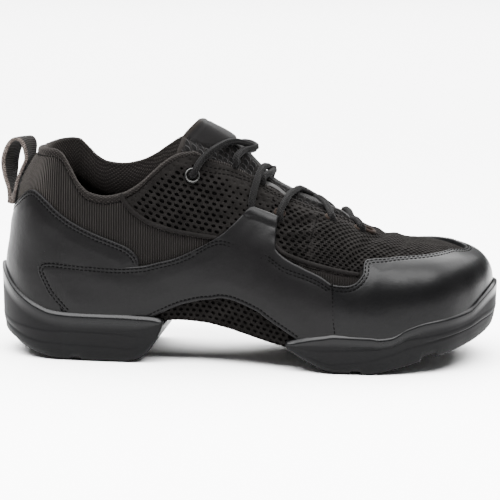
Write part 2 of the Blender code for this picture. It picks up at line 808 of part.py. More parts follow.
def main_insole(group, surface):
    """Thin sheet on the footbeds and the arch, just inside the feather line."""
    stations = [TOE_ARC * k / 6 for k in range(6)]
    stations += [TOE_ARC + SIDE_RUN * k / 14 for k in range(14)]
    stations += [TOE_ARC + SIDE_RUN + HEEL_ARC / 2 * k / 5 for k in range(6)]
    stations += [ROUND - s for s in reversed(stations[1:-1])]
    shell = Shell()

    def loop(lift):
        made = []
        for s in stations:
            spine, way, radius, x, side = station(s)
            reach = radius * smooth(FEATHER_SHARE, x) - WALL / W - 0.5
            made.append(Vector(((spine[0] + way[0] * reach) * X, (spine[1] + way[1] * reach) * W,
                                levels(s)[0] * H + lift)))
        return shell.line(made)

    def fill(line):
        n = len(line)
        ribs = []
        for k in range(1, n // 2):
            a, b = shell.points[line[k]], shell.points[line[n - k]]
            ribs.append([line[k]] + shell.line(a.lerp(b, j / 3) for j in (1, 2)) + [line[n - k]])
        for a, b in zip(ribs, ribs[1:]):
            shell.band(a, b)
        for rib, tip in ((ribs[0], line[0]), (ribs[-1], line[n // 2])):
            shell.faces += [(a, b, tip) for a, b in zip(rib, rib[1:])]

    low = loop(WALL + FIT)
    high = loop(WALL + FIT + INSOLE)
    shell.band(low, high, closed=True)
    fill(low)
    fill(high)
    return place("insole", shell.mesh("insole"), group, surface)


# Tongue
TONGUE_COLUMNS = ("x", "half", "crown")
TONGUE_SHAPE = (
    (96, 24.5, 1.6),
    (112, 24.0, 2.0),
    (120, 23.0, 1.9),
    (128, 21.6, 1.1),
    (142, 18.5, 0.5),
    (158, 16.0, 1.1),
    (174, 13.0, 1.1),
    (183, 10.8, -0.6),
    (188, 10.0, -2.7),
    (197, 9.0, -2.7),
)
TONGUE_TIP = 104.5      # where the tongue ends on its middle line
TONGUE_CORNER = 7.0     # how much further back its corners reach
TONGUE_FOOT = 196.0


def across_phi(x, side, reach):
    """Station and angle on the outer face at a distance to one side of the middle line."""
    s = side_station(x, side)
    spine, way, radius, px, sign = station(s)
    return s, acos(min(1, reach / radius) ** (levels(s)[3] / 2))


def tongue_out(x, side, reach):
    """Stand-off of the tongue's face from the outer face of the upper, in metres."""
    name = "outer" if side < 0 else "inner"
    half = max(0.1, smooth(THROAT_CURVES[name], x)) if x < THROAT_FOOT else 0.1
    sunk = step_between(0.30, 0.80, reach / half)
    crown = smooth([(row[0], row[2]) for row in TONGUE_SHAPE], x) * H
    return crown * (1 - sunk) - (WALL + 2.8 * FIT) * sunk


def main_tongue(group, surface):
    shell = Shell()
    lines = []
    for k in range(13):
        v = k / 12
        line = []
        for j in range(-5, 6):
            u = abs(j) / 5
            side = -1 if j < 0 else 1
            end = TONGUE_TIP - TONGUE_CORNER * u ** 2
            x = end + (TONGUE_FOOT - end) * v
            half = smooth([(row[0], row[1]) for row in TONGUE_SHAPE], x)
            if side > 0:
                half *= 0.90
            s, phi = across_phi(x, side, half * u)
            line.append(upper_point(s, phi, tongue_out(x, side, half * u)))
        lines.append(shell.line(line))
    for a, b in zip(lines, lines[1:]):
        shell.band(a, b)
    ob = place("tongue", shell.mesh("tongue", open_sheet=True), group, surface)
    return solidify(ob, TONGUE)


# Eyelets
EYELET_X = 103.3
EYELET_HEIGHTS = {"outer": 95.1, "inner": 98.0}
EYELET_OUTER = 0.0080
EYELET_INNER = 0.0046
EYELET_RISE = 0.0011
EYELET_HOLE = 0.0052    # hole in the cloth


def eyelet_frame(name):
    """Seat of an eyelet on the outer face, and its axis."""
    s = side_station(EYELET_X, -1 if name == "outer" else 1)
    phi = phi_at_height(s, EYELET_HEIGHTS[name])
    seat = upper_point(s, phi)
    axis = (upper_point(s, phi, 0.001) - seat).normalized()
    return seat, axis


def turned(name, profile, seat, axis, count):
    """A ring turned from a closed profile of radius and height."""
    shell = Shell()
    turn = axis.to_track_quat("Z", "Y").to_matrix()
    lines = []
    for k in range(count):
        a = 2 * pi * k / count
        lines.append(shell.line(seat + turn @ Vector((r * cos(a), r * sin(a), z)) for r, z in profile))
    for k, line in enumerate(lines):
        shell.band(line, lines[(k + 1) % count], closed=True)
    return shell.mesh(name)


def main_eyelets(group, cutters, upper, surface):
    for name in ("outer", "inner"):
        seat, axis = eyelet_frame(name)
        r0, r1 = EYELET_INNER / 2, EYELET_OUTER / 2
        low, high = SEAT, SEAT + EYELET_RISE
        profile = ((r0, low), (r1, low), (r1 - 0.0003, (low + high) / 2), ((r0 + r1) / 2, high),
                   (r0 + 0.0003, (low + high) / 2))
        place("eyelet_" + name, turned("eyelet_" + name, profile, seat, axis, 14), group, surface)
        shell = Shell()
        turn = axis.to_track_quat("Z", "Y").to_matrix()
        ends = []
        for z in (-0.006, 0.004):
            ends.append(shell.line(seat + turn @ Vector((EYELET_HOLE / 2 * cos(pi * k / 5),
                                                         EYELET_HOLE / 2 * sin(pi * k / 5), z)) for k in range(10)))
        shell.band(ends[0], ends[1], closed=True)
        shell.faces += [tuple(ends[0]), tuple(ends[1])]
        cutter = place("eyelet_hole_" + name, shell.mesh("eyelet_hole_" + name), cutters)
        keep_cutter(cutter, cutters)
        boolean(upper, cutter, "DIFFERENCE")


# Lace: each strand from the outer side to the inner side: x, distance from the middle, lift
LACE_COLUMNS = ("x", "across", "lift")
LACE_STRANDS = {
    "lace_foot": (
        ((187.4, -12.0, 0.2), (184.6, -6, 0.6), (181.9, 0, 0.6), (178.8, 8, 0.4), (176.0, 14.5, 0.2)),
    ),
    "lace_low": (
        ((147.2, -25.5, 0.2), (148.9, -19.5, 0.3), (150.4, -12.5, 0.7), (152.4, -5.5, 1.8), (154.9, 0, 1.6),
         (160.5, 8, 1.7), (168.5, 16.5, 0.3)),
        ((173.3, -19.0, 0.2), (170.2, -10, 0.5), (166.5, 0, 0.5), (160.5, 8, 0.3), (150, 18.5, 1.0)),
    ),
    "lace_middle": (
        ((132.9, -26.5, 0.2), (133.6, -20, 0.4), (134.5, -11, 0.5), (135.8, -3, 0.3), (138.4, 5.5, 0.3),
         (137.4, 13.0, 0.1)),
        ((136.2, -13.0, 0.3), (138.4, -6.5, 1.6), (140.8, 0, 2.9), (138.4, 5.5, 2.7), (134.3, 19, 0.3)),
    ),
    "lace_top": (
        ((106.8, -22.5, 0.4), (112.5, -17, 0.8), (119.5, -9.5, 0.8), (125.4, -3.5, 1.0), (128.4, 1.5, 0.9),
         (126.0, 8.5, 0.4), (123.6, 13.5, 0.2)),
        ((123.3, -15.2, 0.2), (125.4, -8.5, 0.4), (128.4, 1.5, 2.4), (121, 9.5, 1.4), (108.5, 20, 0.4)),
    ),
}


def lace_point(x, across, lift):
    side = -1 if across < 0 else 1
    s, phi = across_phi(x, side, abs(across))
    out = max(0.0, tongue_out(x, side, abs(across)))
    return upper_point(s, phi, out + LACE / 2 + FIT * 1.5 + lift * 0.001)


def smooth_path(points, steps):
    made = []
    for i in range(len(points) - 1):
        p0 = points[max(0, i - 1)]
        p1, p2 = points[i], points[i + 1]
        p3 = points[min(len(points) - 1, i + 2)]
        for k in range(steps):
            u = k / steps
            made.append(0.5 * (2 * p1 + (p2 - p0) * u + (2 * p0 - 5 * p1 + 4 * p2 - p3) * u * u
                               + (3 * p1 - p0 - 3 * p2 + p3) * u ** 3))
    made.append(points[-1])
    return made


def tube_mesh(name, path, diameter, sides=6):
    shell = Shell()
    rings = []
    up = Vector((0, 0, 1))
    for i, p in enumerate(path):
        ahead = (path[min(i + 1, len(path) - 1)] - path[max(i - 1, 0)]).normalized()
        across = ahead.cross(up).normalized()
        high = across.cross(ahead).normalized()
        up = high
        rings.append(shell.line(p + (across * cos(2 * pi * k / sides) + high * sin(2 * pi * k / sides)) * diameter / 2
                                for k in range(sides)))
    for a, b in zip(rings, rings[1:]):
        shell.band(a, b, closed=True)
    shell.faces += [tuple(rings[0]), tuple(rings[-1])]
    return shell.mesh(name)


def main_lace(group, cutters, surface):
    for name, strands in LACE_STRANDS.items():
        paths = [smooth_path([lace_point(*row) for row in strand], 2) for strand in strands]
        ob = place(name, tube_mesh(name, paths[0], LACE), group, surface)
        for path in paths[1:]:
            other = place(name + "_over", tube_mesh(name + "_over", path, LACE), cutters)
            keep_cutter(other, cutters)
            boolean(ob, other, "UNION")


# Pull loop, as its outer and inner lines in the middle plane of the heel, in parts
LOOP_COLUMNS = ("outer_x", "outer_z", "inner_x", "inner_z", "turn")
LOOP_TURN = 34          # degrees that the loop is turned towards the outer side at its top
LOOP = (
    (3.6, 79.0, 5.6, 82.1, 0.0),
    (3.6, 84.0, 5.2, 85.5, 0.12),
    (3.1, 91.0, 4.9, 91.0, 0.6),
    (3.1, 98.0, 4.9, 98.0, 0.9),
    (4.6, 104.2, 6.2, 103.4, 0.9),
    (7.4, 108.8, 8.3, 107.3, 0.9),
    (10.6, 110.7, 10.7, 109.0, 0.9),
    (13.7, 109.6, 12.7, 108.2, 0.8),
    (15.4, 105.8, 13.8, 105.0, 0.6),
)
LOOP_FOOT = 76.0


def main_loop(group, surface):
    """Webbing ring: down the back of the collar, round and back up, with both ends together."""
    s = ROUND / 2
    room = FIT * 1.7

    def back(z, out):
        p = upper_point(s, phi_at_height(s, z), out)
        return p.x / X, p.z / H

    ring = [(row[0], row[1], row[2], row[3], row[4]) for row in LOOP]
    for z in (99.0, 94.0, 89.0, 84.5):
        outer_leg = back(z, room)
        inner_leg = back(z - 0.6, room + WEBBING)
        ring.append((*outer_leg, *inner_leg, 0.25 if z > 98 else 0.0))
    foot = back(LOOP_FOOT, room)
    low = back(LOOP_FOOT, room + 2 * WEBBING + 0.0002)
    ring.append((*back(79.0, room), *back(82.6, room + WEBBING), 0.0))
    ring.append((*foot, *back(81.2, room + WEBBING + 0.0003), 0.0))
    ring.append((*low, *back(81.0, room + WEBBING + 0.0007), 0.0))
    shell = Shell()

    def line(column, w):
        made = []
        for row in ring:
            turn = radians(LOOP_TURN * row[4])
            x, z = row[column], row[column + 1]
            half = WEBBING_WIDTH / 2 * w
            made.append(Vector((x * X + half * sin(turn), half * cos(turn), z * H)))
        return shell.line(made)

    a, b = line(0, -1), line(2, -1)
    c, d = line(0, 1), line(2, 1)
    for p, q in ((a, b), (b, d), (d, c), (c, a)):
        shell.band(p, q, closed=True)
    return place("pull_loop", shell.mesh("pull_loop"), group, surface)


def centre_part(group, cutters):
    """Move everything so that the part's box is centred over the origin."""
    points = [ob.matrix_world @ v.co for ob in group.objects for v in ob.data.vertices]
    middle = Vector([(min(p[i] for p in points) + max(p[i] for p in points)) / 2 for i in range(2)] + [0])
    for ob in list(group.objects) + list(cutters.objects):
        for v in ob.data.vertices:
            v.co -= middle
        ob.data.update()


def build():
    clear_scene()
    group = collection("dance_sneaker")
    cutters = collection("cutters")
    cloth = material("upper_mesh", (0.020, 0.018, 0.018), 0.85)
    hide = material("leather", (0.024, 0.024, 0.026), 0.40)
    rubber = material("rubber", (0.030, 0.031, 0.034), 0.50)
    padding = material("tongue_mesh", (0.022, 0.020, 0.020), 0.85)
    lining = material("insole_cloth", (0.016, 0.015, 0.015), 0.90)
    metal = material("eyelet_metal", (0.60, 0.60, 0.58), 0.30, 1.0)
    cord = material("lace_cord", (0.022, 0.021, 0.021), 0.80)
    tape = material("webbing", (0.026, 0.023, 0.022), 0.80)
    upper = main_upper(group, cloth)
    main_leather(group, cutters, hide)
    main_soles(group, cutters, rubber)
    main_tongue(group, padding)
    main_insole(group, lining)
    main_eyelets(group, cutters, upper, metal)
    main_lace(group, cutters, cord)
    main_loop(group, tape)
    centre_part(group, cutters)


build()
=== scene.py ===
"""Looks of the dance sneaker: cloth with a real open net, leather panels with sewn edges, rubber
cups, tongue, braided lace, eyelets and pull loop, all built on the same outer face as the solids.

The tables count in parts, as in the part's source: about a millimetre each.
"""
from collections import namedtuple
from math import cos, pi, radians, sin

import bpy
import numpy as np
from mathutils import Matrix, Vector


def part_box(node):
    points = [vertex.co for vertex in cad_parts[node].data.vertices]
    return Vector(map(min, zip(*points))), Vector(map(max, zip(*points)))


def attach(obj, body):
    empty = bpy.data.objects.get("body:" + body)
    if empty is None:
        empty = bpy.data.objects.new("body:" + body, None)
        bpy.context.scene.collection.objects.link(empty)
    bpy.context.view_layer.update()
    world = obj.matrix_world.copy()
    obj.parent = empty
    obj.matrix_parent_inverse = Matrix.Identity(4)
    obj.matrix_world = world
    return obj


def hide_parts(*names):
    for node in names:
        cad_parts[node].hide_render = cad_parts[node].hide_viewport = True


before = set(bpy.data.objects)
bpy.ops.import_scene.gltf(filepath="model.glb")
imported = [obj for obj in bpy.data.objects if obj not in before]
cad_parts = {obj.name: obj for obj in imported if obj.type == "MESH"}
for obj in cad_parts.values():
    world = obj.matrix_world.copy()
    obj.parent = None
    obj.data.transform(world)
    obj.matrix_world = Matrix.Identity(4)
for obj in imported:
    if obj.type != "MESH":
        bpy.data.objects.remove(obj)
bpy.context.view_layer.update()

# The solids' own sizes, from the frame, give the units of the tables
BOX_LOW, BOX_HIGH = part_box("heel_sole")[0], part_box("forefoot_sole")[1]
PART_LENGTH = 257.4
PART_REAR = -1.0
PART_ACROSS = -0.85
UNIT = (BOX_HIGH[0] - BOX_LOW[0]) / PART_LENGTH
MIDDLE = np.array([PART_REAR * UNIT - BOX_LOW[0], PART_ACROSS * UNIT, 0.0])

# The photograph's camera: direction round the shoe, height and distance
VIEW_AZIMUTH = 7.0
VIEW_ELEVATION = 10.0
VIEW_DISTANCE = 1.074
VIEW_TARGET = (129.4, 0.0, 53.4)
VIEW_LENS = 150.0

# Stations round the upper: toe tip, outer side, heel, inner side, toe tip
HEEL_PIVOT = 38
TOE_PIVOT = 212
TOE_ARC = 66
SIDE_RUN = TOE_PIVOT - HEEL_PIVOT
HEEL_ARC = 104
ROUND = 2 * (TOE_ARC + SIDE_RUN) + HEEL_ARC
HALF = ROUND / 2

# Sections of the last, in the part's own numbers
LAST_COLUMNS = ("x", "outer", "inner", "feather", "belly", "ridge", "fullness")
LAST = (
    (2.5, 0, 0, 19.0, 33, 168, 2.0),
    (38, 31.0, 30.5, 18.0, 32, 168, 2.0),
    (60, 32.5, 31.0, 18.5, 32, 168, 2.0),
    (75, 33.0, 30.0, 20.0, 34, 164, 2.0),
    (88, 33.2, 28.5, 21.8, 37, 149, 2.0),
    (98, 33.5, 27.5, 22.3, 39, 131, 2.0),
    (110, 34.3, 27.2, 21.6, 40, 116.5, 2.0),
    (120, 35.5, 27.8, 19.8, 39, 110.5, 2.0),
    (130, 37.2, 29.5, 17.2, 36, 101.5, 2.0),
    (142, 39.5, 32.5, 13.9, 32, 90, 2.05),
    (158, 43.0, 37.5, 10.8, 28, 81.2, 2.1),
    (176, 45.6, 42.0, 9.5, 27, 73.4, 2.2),
    (192, 46.2, 44.5, 9.6, 27, 65.0, 2.3),
    (204, 44.9, 44.2, 10.6, 28, 61.6, 2.4),
    (212, 43.0, 43.2, 12.0, 29, 60.0, 2.5),
    (235, 24, 30, 17.5, 33, 60.0, 2.7),
    (251, 0, 0, 23.5, 37, 60.0, 2.7),
)
TOE_SIDE = 4.0
TOE = (
    (-90, 47.0), (-80, 45.7), (-65, 43.6), (-45, 40.2), (-22, 38.5), (0, 38.8), (22, 39.9), (45, 40.6),
    (68, 40.0), (80, 39.1), (90, 39.2),
)
HEEL = ((0, 35.3), (45, 32.6), (90, 30.8))
TOE_SLOPE = 0.10
LEAN = ((36, 0), (46, 0.5), (60, 2.0), (70, 2.6), (80, 3.3), (90, 4.9), (98, 8.0), (107, 13.2))
FEATHER_SHARE = ((2.5, 0.88), (80, 0.90), (120, 0.93), (180, 0.94), (252.5, 0.90))
COLLAR = (
    (2.5, 106.0, 105.2), (30, 106.4, 106.6), (36, 104.6, 105.8), (41, 97.5, 101.2), (45.5, 89.8, 96.6),
    (51, 84.9, 93.8), (59, 83.3, 93.0), (68, 85.0, 94.6), (76, 89.3, 98.2), (84, 96.4, 103.6),
    (91, 102.2, 108.2), (98, 105.4, 110.8), (105, 106.0, 110.8),
)
THROAT_TOP = 105
THROAT_FOOT = 189
THROAT = (
    (105, 21.0, 17.5), (110, 20.3, 17.2), (118, 19.6, 17.0), (126, 18.0, 16.0), (138, 14.4, 13.8),
    (150, 12.4, 12.0), (167, 10.2, 10.0), (179, 7.0, 7.0), (186, 3.8, 3.8), (189, 0.0, 0.0),
)

# Soles: how far the cups stand out, and their lower and upper lines along the shoe
STAND = 3.5
BUMPER = 1.9
HEEL_FRONT = 89.5
FORE_REAR = 152.5
HEEL_SOLE = (
    (-1, 14.0, 47.5, 0.10, 0.20), (4, 11.0, 42.5, 0.14, 0.26), (10, 7.6, 37.0, 0.18, 0.33),
    (16, 4.8, 33.0, 0.22, 0.42), (24, 2.4, 29.0, 0.26, 0.50), (31, 1.0, 26.5, 0.31, 0.56),
    (38, 0.2, 25.6, 0.33, 0.60), (43, 0.0, 25.4, 0.33, 0.61), (69, 0.0, 25.2, 0.29, 0.58),
    (76, 1.8, 24.9, 0.27, 0.52), (81, 5.6, 24.7, 0.27, 0.50), (85, 11.0, 24.3, 0.30, 0.52),
    (88, 17.0, 23.6, 0.32, 0.55), (89.5, 20.2, 22.9, 0.34, 0.60),
)
FORE_SOLE = (
    (152.5, 10.9, 15.6, 0.34, 0.60), (155, 9.9, 16.2, 0.32, 0.58), (160, 7.0, 17.6, 0.28, 0.52),
    (166, 3.8, 19.0, 0.25, 0.52), (172, 1.2, 20.0, 0.23, 0.56), (177, 0.0, 20.8, 0.24, 0.58),
    (195, 0.0, 20.6, 0.36, 0.64), (199, 0.6, 20.0, 0.40, 0.66), (205, 2.1, 20.6, 0.44, 0.68),
    (213, 4.2, 24.9, 0.44, 0.66), (222, 7.0, 27.9, 0.40, 0.58), (233, 9.8, 29.4, 0.42, 0.56),
    (243, 12.8, 31.4, 0.44, 0.55), (248, 14.6, 35.2, 0.40, 0.52), (253, 17.0, 39.2, 0.33, 0.45),
    (256, 18.6, 41.2, 0.28, 0.42),
)


def smooth(points, x):
    """Heights at x of a smooth curve through the points, without overshoot."""
    table = np.array([(p[0], p[1]) for p in points], float)
    px, py = table[:, 0], table[:, 1]
    x = np.clip(np.asarray(x, float), px[0], px[-1])
    steps = np.diff(py) / np.diff(px)
    a, b = steps[:-1], steps[1:]
    inner = np.where(a * b > 0, 2 * a * b / np.where(a + b == 0, 1, a + b), 0)
    slope = np.concatenate(([steps[0]], inner, [steps[-1]]))
    k = np.clip(np.searchsorted(px, x, side="right") - 1, 0, len(px) - 2)
    d = px[k + 1] - px[k]
    u = (x - px[k]) / d
    return (py[k] * (1 + 2 * u) * (1 - u) ** 2 + py[k + 1] * u * u * (3 - 2 * u)
            + d * u * (1 - u) * (slope[k] * (1 - u) - slope[k + 1] * u))


def column(table, k):
    return [(row[0], row[k]) for row in table]


LAST_CURVES = {name: column(LAST, k) for k, name in enumerate(LAST_COLUMNS)}


def last(name, x):
    return smooth(LAST_CURVES[name], x)


def step_between(a, b, x):
    """0 before a, 1 after b, smooth between."""
    u = np.clip((np.asarray(x, float) - a) / (b - a), 0, 1)
    return u * u * (3 - 2 * u)


def middle_line(x):
    """The shoe's middle line, which turns a little to one side towards the toe."""
    return TOE_SIDE * step_between(HEEL_PIVOT, TOE_PIVOT, x)


def by_side(table, x, side):
    """A table's second column at x on the outer side and its third on the inner side."""
    return np.where(side < 0, smooth(column(table, 1), x), smooth(column(table, 2), x))


def side_name(side):
    return "outer" if side < 0 else "inner"


Station = namedtuple("Station", "spine_x spine_y way_x way_y radius x side")


def station(s):
    """Spine, direction outwards, radius, place along the shoe and side for each station."""
    s = np.mod(np.asarray(s, float), ROUND)
    side = np.where(s <= HALF, -1.0, 1.0)
    half = np.where(side < 0, s, ROUND - s)
    toe = half < TOE_ARC
    heel = half >= TOE_ARC + SIDE_RUN
    spine_x = np.clip(TOE_PIVOT - (half - TOE_ARC), HEEL_PIVOT, TOE_PIVOT)
    spine_y = middle_line(spine_x)
    back = 90 * (1 - (half - TOE_ARC - SIDE_RUN) / (HEEL_ARC / 2))
    angle = np.where(heel, side * (180 - back), side * 90 * np.clip(half / TOE_ARC, 0, 1))
    on_side = np.where(side < 0, last("outer", spine_x) + spine_y, last("inner", spine_x) - spine_y)
    radius = np.where(toe, smooth(TOE, angle), np.where(heel, smooth(HEEL, np.clip(back, 0, 90)), on_side))
    way_x, way_y = np.cos(np.radians(angle)), np.sin(np.radians(angle))
    return Station(spine_x, spine_y, way_x, way_y, radius, spine_x + way_x * radius, side)


def side_station(x, side):
    half = TOE_ARC + TOE_PIVOT - np.asarray(x, float)
    return half if side < 0 else ROUND - half


def levels(s):
    at = station(s)
    return last("feather", at.x), last("belly", at.x), last("ridge", at.spine_x), last("fullness", at.x)


def raw(s, phi):
    """Points of the upper's outer face, in parts: -90 degrees at the feather, 90 at the ridge."""
    s, phi = np.broadcast_arrays(np.asarray(s, float), np.asarray(phi, float))
    at = station(s)
    feather, belly, ridge, full = levels(s)
    share = smooth(FEATHER_SHARE, at.x)
    c, n = np.maximum(np.cos(phi), 0), np.sin(phi)
    up = np.maximum(n, 0)
    rho = np.where(phi < 0, share + (1 - share) * c, c ** (2 / full))
    z = np.where(phi < 0, belly + (belly - feather) * n, belly + (ridge - belly) * up ** (2 / full))
    reach = at.radius * rho - np.where(at.spine_x <= HEEL_PIVOT, smooth(LEAN, z) * at.way_x ** 2, 0)
    x = at.spine_x + at.way_x * reach
    z = z - TOE_SLOPE * np.maximum(x - TOE_PIVOT, 0) * up ** 2
    return np.stack([x, at.spine_y + at.way_y * reach, z], axis=-1)


NORMAL_STEPS = (2.0, 0.01)


def unit(v):
    return v / np.maximum(np.linalg.norm(v, axis=-1, keepdims=True), 1e-9)


def normal(s, phi):
    """Outward direction of the outer face."""
    ds, dp = NORMAL_STEPS
    s, phi = np.broadcast_arrays(np.asarray(s, float), np.asarray(phi, float))
    along = raw(s + ds, phi) - raw(s - ds, phi)
    rise = raw(s, np.minimum(phi + dp, pi / 2)) - raw(s, np.maximum(phi - dp, -pi / 2))
    n = np.cross(along, rise)
    at = station(s)
    out = np.stack([at.way_x * np.cos(phi), at.way_y * np.cos(phi), np.sin(phi)], axis=-1)
    flip = np.where((n * out).sum(-1, keepdims=True) < 0, -1, 1)
    flat = (np.linalg.norm(n, axis=-1, keepdims=True) < 1e-9) | (phi[..., None] > pi / 2 - 0.02)
    return unit(np.where(flat, np.array([0.1, 0, 1.0]), n * flip))


def face(s, phi, out=0.0):
    """Points at a distance outside the outer face, in parts."""
    return raw(s, phi) + normal(s, phi) * np.asarray(out, float)[..., None]


def phi_at(s, z):
    """The angle at which each section reaches a height."""
    feather, belly, ridge, full = levels(s)
    low = -np.arcsin(np.clip((belly - z) / (belly - feather), 0, 1))
    high = np.arcsin(np.clip((z - belly) / (ridge - belly), 0, 1) ** (full / 2))
    return np.where(z < belly, low, high)


def phi_edge(s):
    """The angle of the collar or throat edge at each station."""
    at = station(s)
    full = levels(s)[3]
    height = by_side(COLLAR, at.x, at.side)
    half = by_side(THROAT, at.x, at.side)
    at_throat = np.arccos(np.clip(half / at.radius, 0, 1) ** (full / 2))
    mix = step_between(THROAT_TOP - 4, THROAT_TOP + 4, at.spine_x)
    edge = phi_at(s, height) * (1 - mix) + at_throat * mix
    return np.where(at.spine_x >= THROAT_FOOT, pi / 2, edge)


def phi_true(s, z):
    """Like phi_at, with the fall of the vamp beyond the toe pivot."""
    phi = phi_at(s, z)
    for _ in range(5):
        beyond = np.maximum(raw(s, phi)[..., 0] - TOE_PIVOT, 0)
        phi = phi_at(s, z + TOE_SLOPE * beyond * np.maximum(np.sin(phi), 0) ** 2)
    return phi


def at_side_view(x, z, side):
    """Station and angle of the points seen at x and z from one side."""
    x, z = np.broadcast_arrays(np.asarray(x, float), np.asarray(z, float))
    low, high = np.zeros(x.shape), np.full(x.shape, HALF)
    for _ in range(24):
        mid = (low + high) / 2
        beyond = raw(mid, phi_true(mid, z))[..., 0] > x
        low = np.where(beyond, mid, low)
        high = np.where(beyond, high, mid)
    s = (low + high) / 2
    s = s if side < 0 else ROUND - s
    return s, phi_true(s, z)


def station_over(x, y):
    """The station whose section passes over a point of the plan, and the share of its radius."""
    off = y - middle_line(x)
    toe_angle = np.degrees(np.arctan2(np.abs(off), x - TOE_PIVOT))
    heel_angle = np.degrees(np.arctan2(np.abs(off), HEEL_PIVOT - x))
    half = np.where(x >= TOE_PIVOT, TOE_ARC * toe_angle / 90, TOE_ARC + TOE_PIVOT - x)
    half = np.where(x <= HEEL_PIVOT, TOE_ARC + SIDE_RUN + HEEL_ARC / 2 * (1 - heel_angle / 90), half)
    s = np.where(off <= 0, half, ROUND - half)
    at = station(s)
    return s, np.clip(np.hypot(x - at.spine_x, y - at.spine_y) / at.radius, 0, 1)


def settle_top(x, y):
    """Station and angle of the face above a point of the plan."""
    s, rho = station_over(x, y)
    return s, np.arccos(rho ** (levels(s)[3] / 2))


def settle(p):
    """Station and angle of the outer face close to points in space."""
    x, y, z = p[..., 0], p[..., 1], p[..., 2]
    s, rho = station_over(x, y)
    by_height = phi_true(s, z)
    mix = np.where((z > levels(s)[1]) & (x > 100), step_between(0.6, 0.85, rho), 1)
    return s, np.arccos(rho ** (levels(s)[3] / 2)) * (1 - mix) + by_height * mix


def catmull(points, steps):
    """A smooth line through the points, with the same number of steps in each span."""
    p = np.array(points, float)
    p = np.vstack([2 * p[0] - p[1], p, 2 * p[-1] - p[-2]])
    u = (np.arange(steps) / steps)[:, None]
    made = []
    for k in range(1, len(p) - 2):
        a, b, c, d = p[k - 1:k + 3]
        made.append(0.5 * (2 * b + (c - a) * u + (2 * a - 5 * b + 4 * c - d) * u ** 2
                           + (3 * b - a - 3 * c + d) * u ** 3))
    made.append(p[-2:-1])
    return np.vstack(made)


def run_along(line):
    """Distance run along a line, or along each column of a grid, at its points."""
    steps = np.linalg.norm(np.diff(line, axis=0), axis=-1)
    return np.concatenate([np.zeros((1,) + steps.shape[1:]), np.cumsum(steps, axis=0)])


def spaced_line(p, step):
    """The same line with points a step apart, measured on its first three columns."""
    run = run_along(p[:, :3])
    count = max(2, int(round(run[-1] / step)) + 1)
    at = np.linspace(0, run[-1], count)
    return np.stack([np.interp(at, run, p[:, k]) for k in range(p.shape[1])], axis=1)


def place_mm(points):
    """From the shoe's parts to metres in the frame."""
    return np.asarray(points, float) * UNIT - MIDDLE


def make(name, points, faces, surface, slot_name, attributes=None, stands_for=()):
    """A piece from points in parts: it rides on the part and takes its material."""
    mesh = bpy.data.meshes.new(name)
    verts = place_mm(points).reshape(-1, 3)
    mesh.from_pydata(verts.tolist(), [], [list(map(int, f)) for f in faces])
    for key, values in (attributes or {}).items():
        layer = mesh.attributes.new(key, "FLOAT", "POINT")
        layer.data.foreach_set("value", np.asarray(values, np.float32).ravel())
    mesh.materials.append(surface)
    mesh.polygons.foreach_set("use_smooth", [True] * len(mesh.polygons))
    mesh.update()
    piece = bpy.data.objects.new(name, mesh)
    bpy.context.scene.collection.objects.link(piece)
    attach(piece, "root")
    if stands_for:
        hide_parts(*stands_for)
    return piece


def grid_faces(rows, columns, wrap=False, start=0, flip=False):
    """Quads of a grid whose points are stored row by row."""
    r = np.arange(rows - 1)[:, None]
    c = np.arange(columns if wrap else columns - 1)[None, :]
    d = (c + 1) % columns
    here, above = r * columns, (r + 1) * columns
    quads = np.stack([here + c, here + d, above + d, above + c], axis=-1).reshape(-1, 4) + start
    return quads[:, ::-1] if flip else quads


def tube_faces(rings, sides):
    """Quads between closed rings, and a flat face at each end."""
    faces = grid_faces(rings, sides, wrap=True).tolist()
    faces.append(list(range(sides))[::-1])
    faces.append([(rings - 1) * sides + k for k in range(sides)])
    return faces


def border_of(rows, columns):
    """The numbers of a grid's outermost points, once round."""
    last_row = (rows - 1) * columns
    right = [r * columns + columns - 1 for r in range(1, rows)]
    back = [last_row + c for c in range(columns - 2, -1, -1)]
    left = [r * columns for r in range(rows - 2, 0, -1)]
    return list(range(columns)) + right + back + left


class Pile:
    """Points and faces of many small forms that become one piece."""

    def __init__(self):
        self.points = []
        self.faces = []
        self.count = 0

    def add(self, points, faces):
        self.points.append(np.asarray(points, float).reshape(-1, 3))
        self.faces += [tuple(int(i) + self.count for i in f) for f in faces]
        self.count += len(self.points[-1])

    def make(self, name, surface, slot_name, **more):
        return make(name, np.vstack(self.points), self.faces, surface, slot_name, **more)


def frames_along(path):
    """Sideways and upward directions along a line, without twist."""
    ahead = unit(np.gradient(path, axis=0))
    up = np.zeros_like(path)
    side = np.zeros_like(path)
    guide = np.array([0, 0, 1.0]) if abs(ahead[0][2]) < 0.9 else np.array([1.0, 0, 0])
    for k in range(len(path)):
        across = unit(np.cross(ahead[k], guide))
        guide = np.cross(across, ahead[k])
        side[k], up[k] = across, guide
    return side, up


def tube(path, radius, sides):
    """Points and faces of a round cord along a line, with one radius or one for each point."""
    side, up = frames_along(path)
    turn = 2 * pi * np.arange(sides) / sides
    r = np.broadcast_to(np.asarray(radius, float), (len(path),))[:, None] * np.ones((1, sides))
    points = (path[:, None, :] + side[:, None, :] * (r * np.cos(turn))[..., None]
              + up[:, None, :] * (r * np.sin(turn))[..., None])
    return points.reshape(-1, 3), tube_faces(len(path), sides)


# Materials. The shine is the strength of the plain reflection, 0.5 for a bare dielectric.
LEATHER_SHINE = 0.060
RUBBER_SHINE = 0.045
LIP_SHINE = 0.04
CLOTH_SHINE = 0.03
BARE_SHINE = 0.5
# Painted highlight along the leather's rolled edges: how many times paler it turns, and how much of it is
# mixed in
EDGE_HIGHLIGHT_GAIN = 3.2
EDGE_HIGHLIGHT_SHARE = 0.15
RIB_PITCH = 1.25
DOT_PITCH = (2.3, 2.0)
TONGUE_PITCH = (7.0, 4.6)
BRAID_PITCH = 1.3
BRAID_TURNS = 6.0
TAPE_PITCH = 1.1

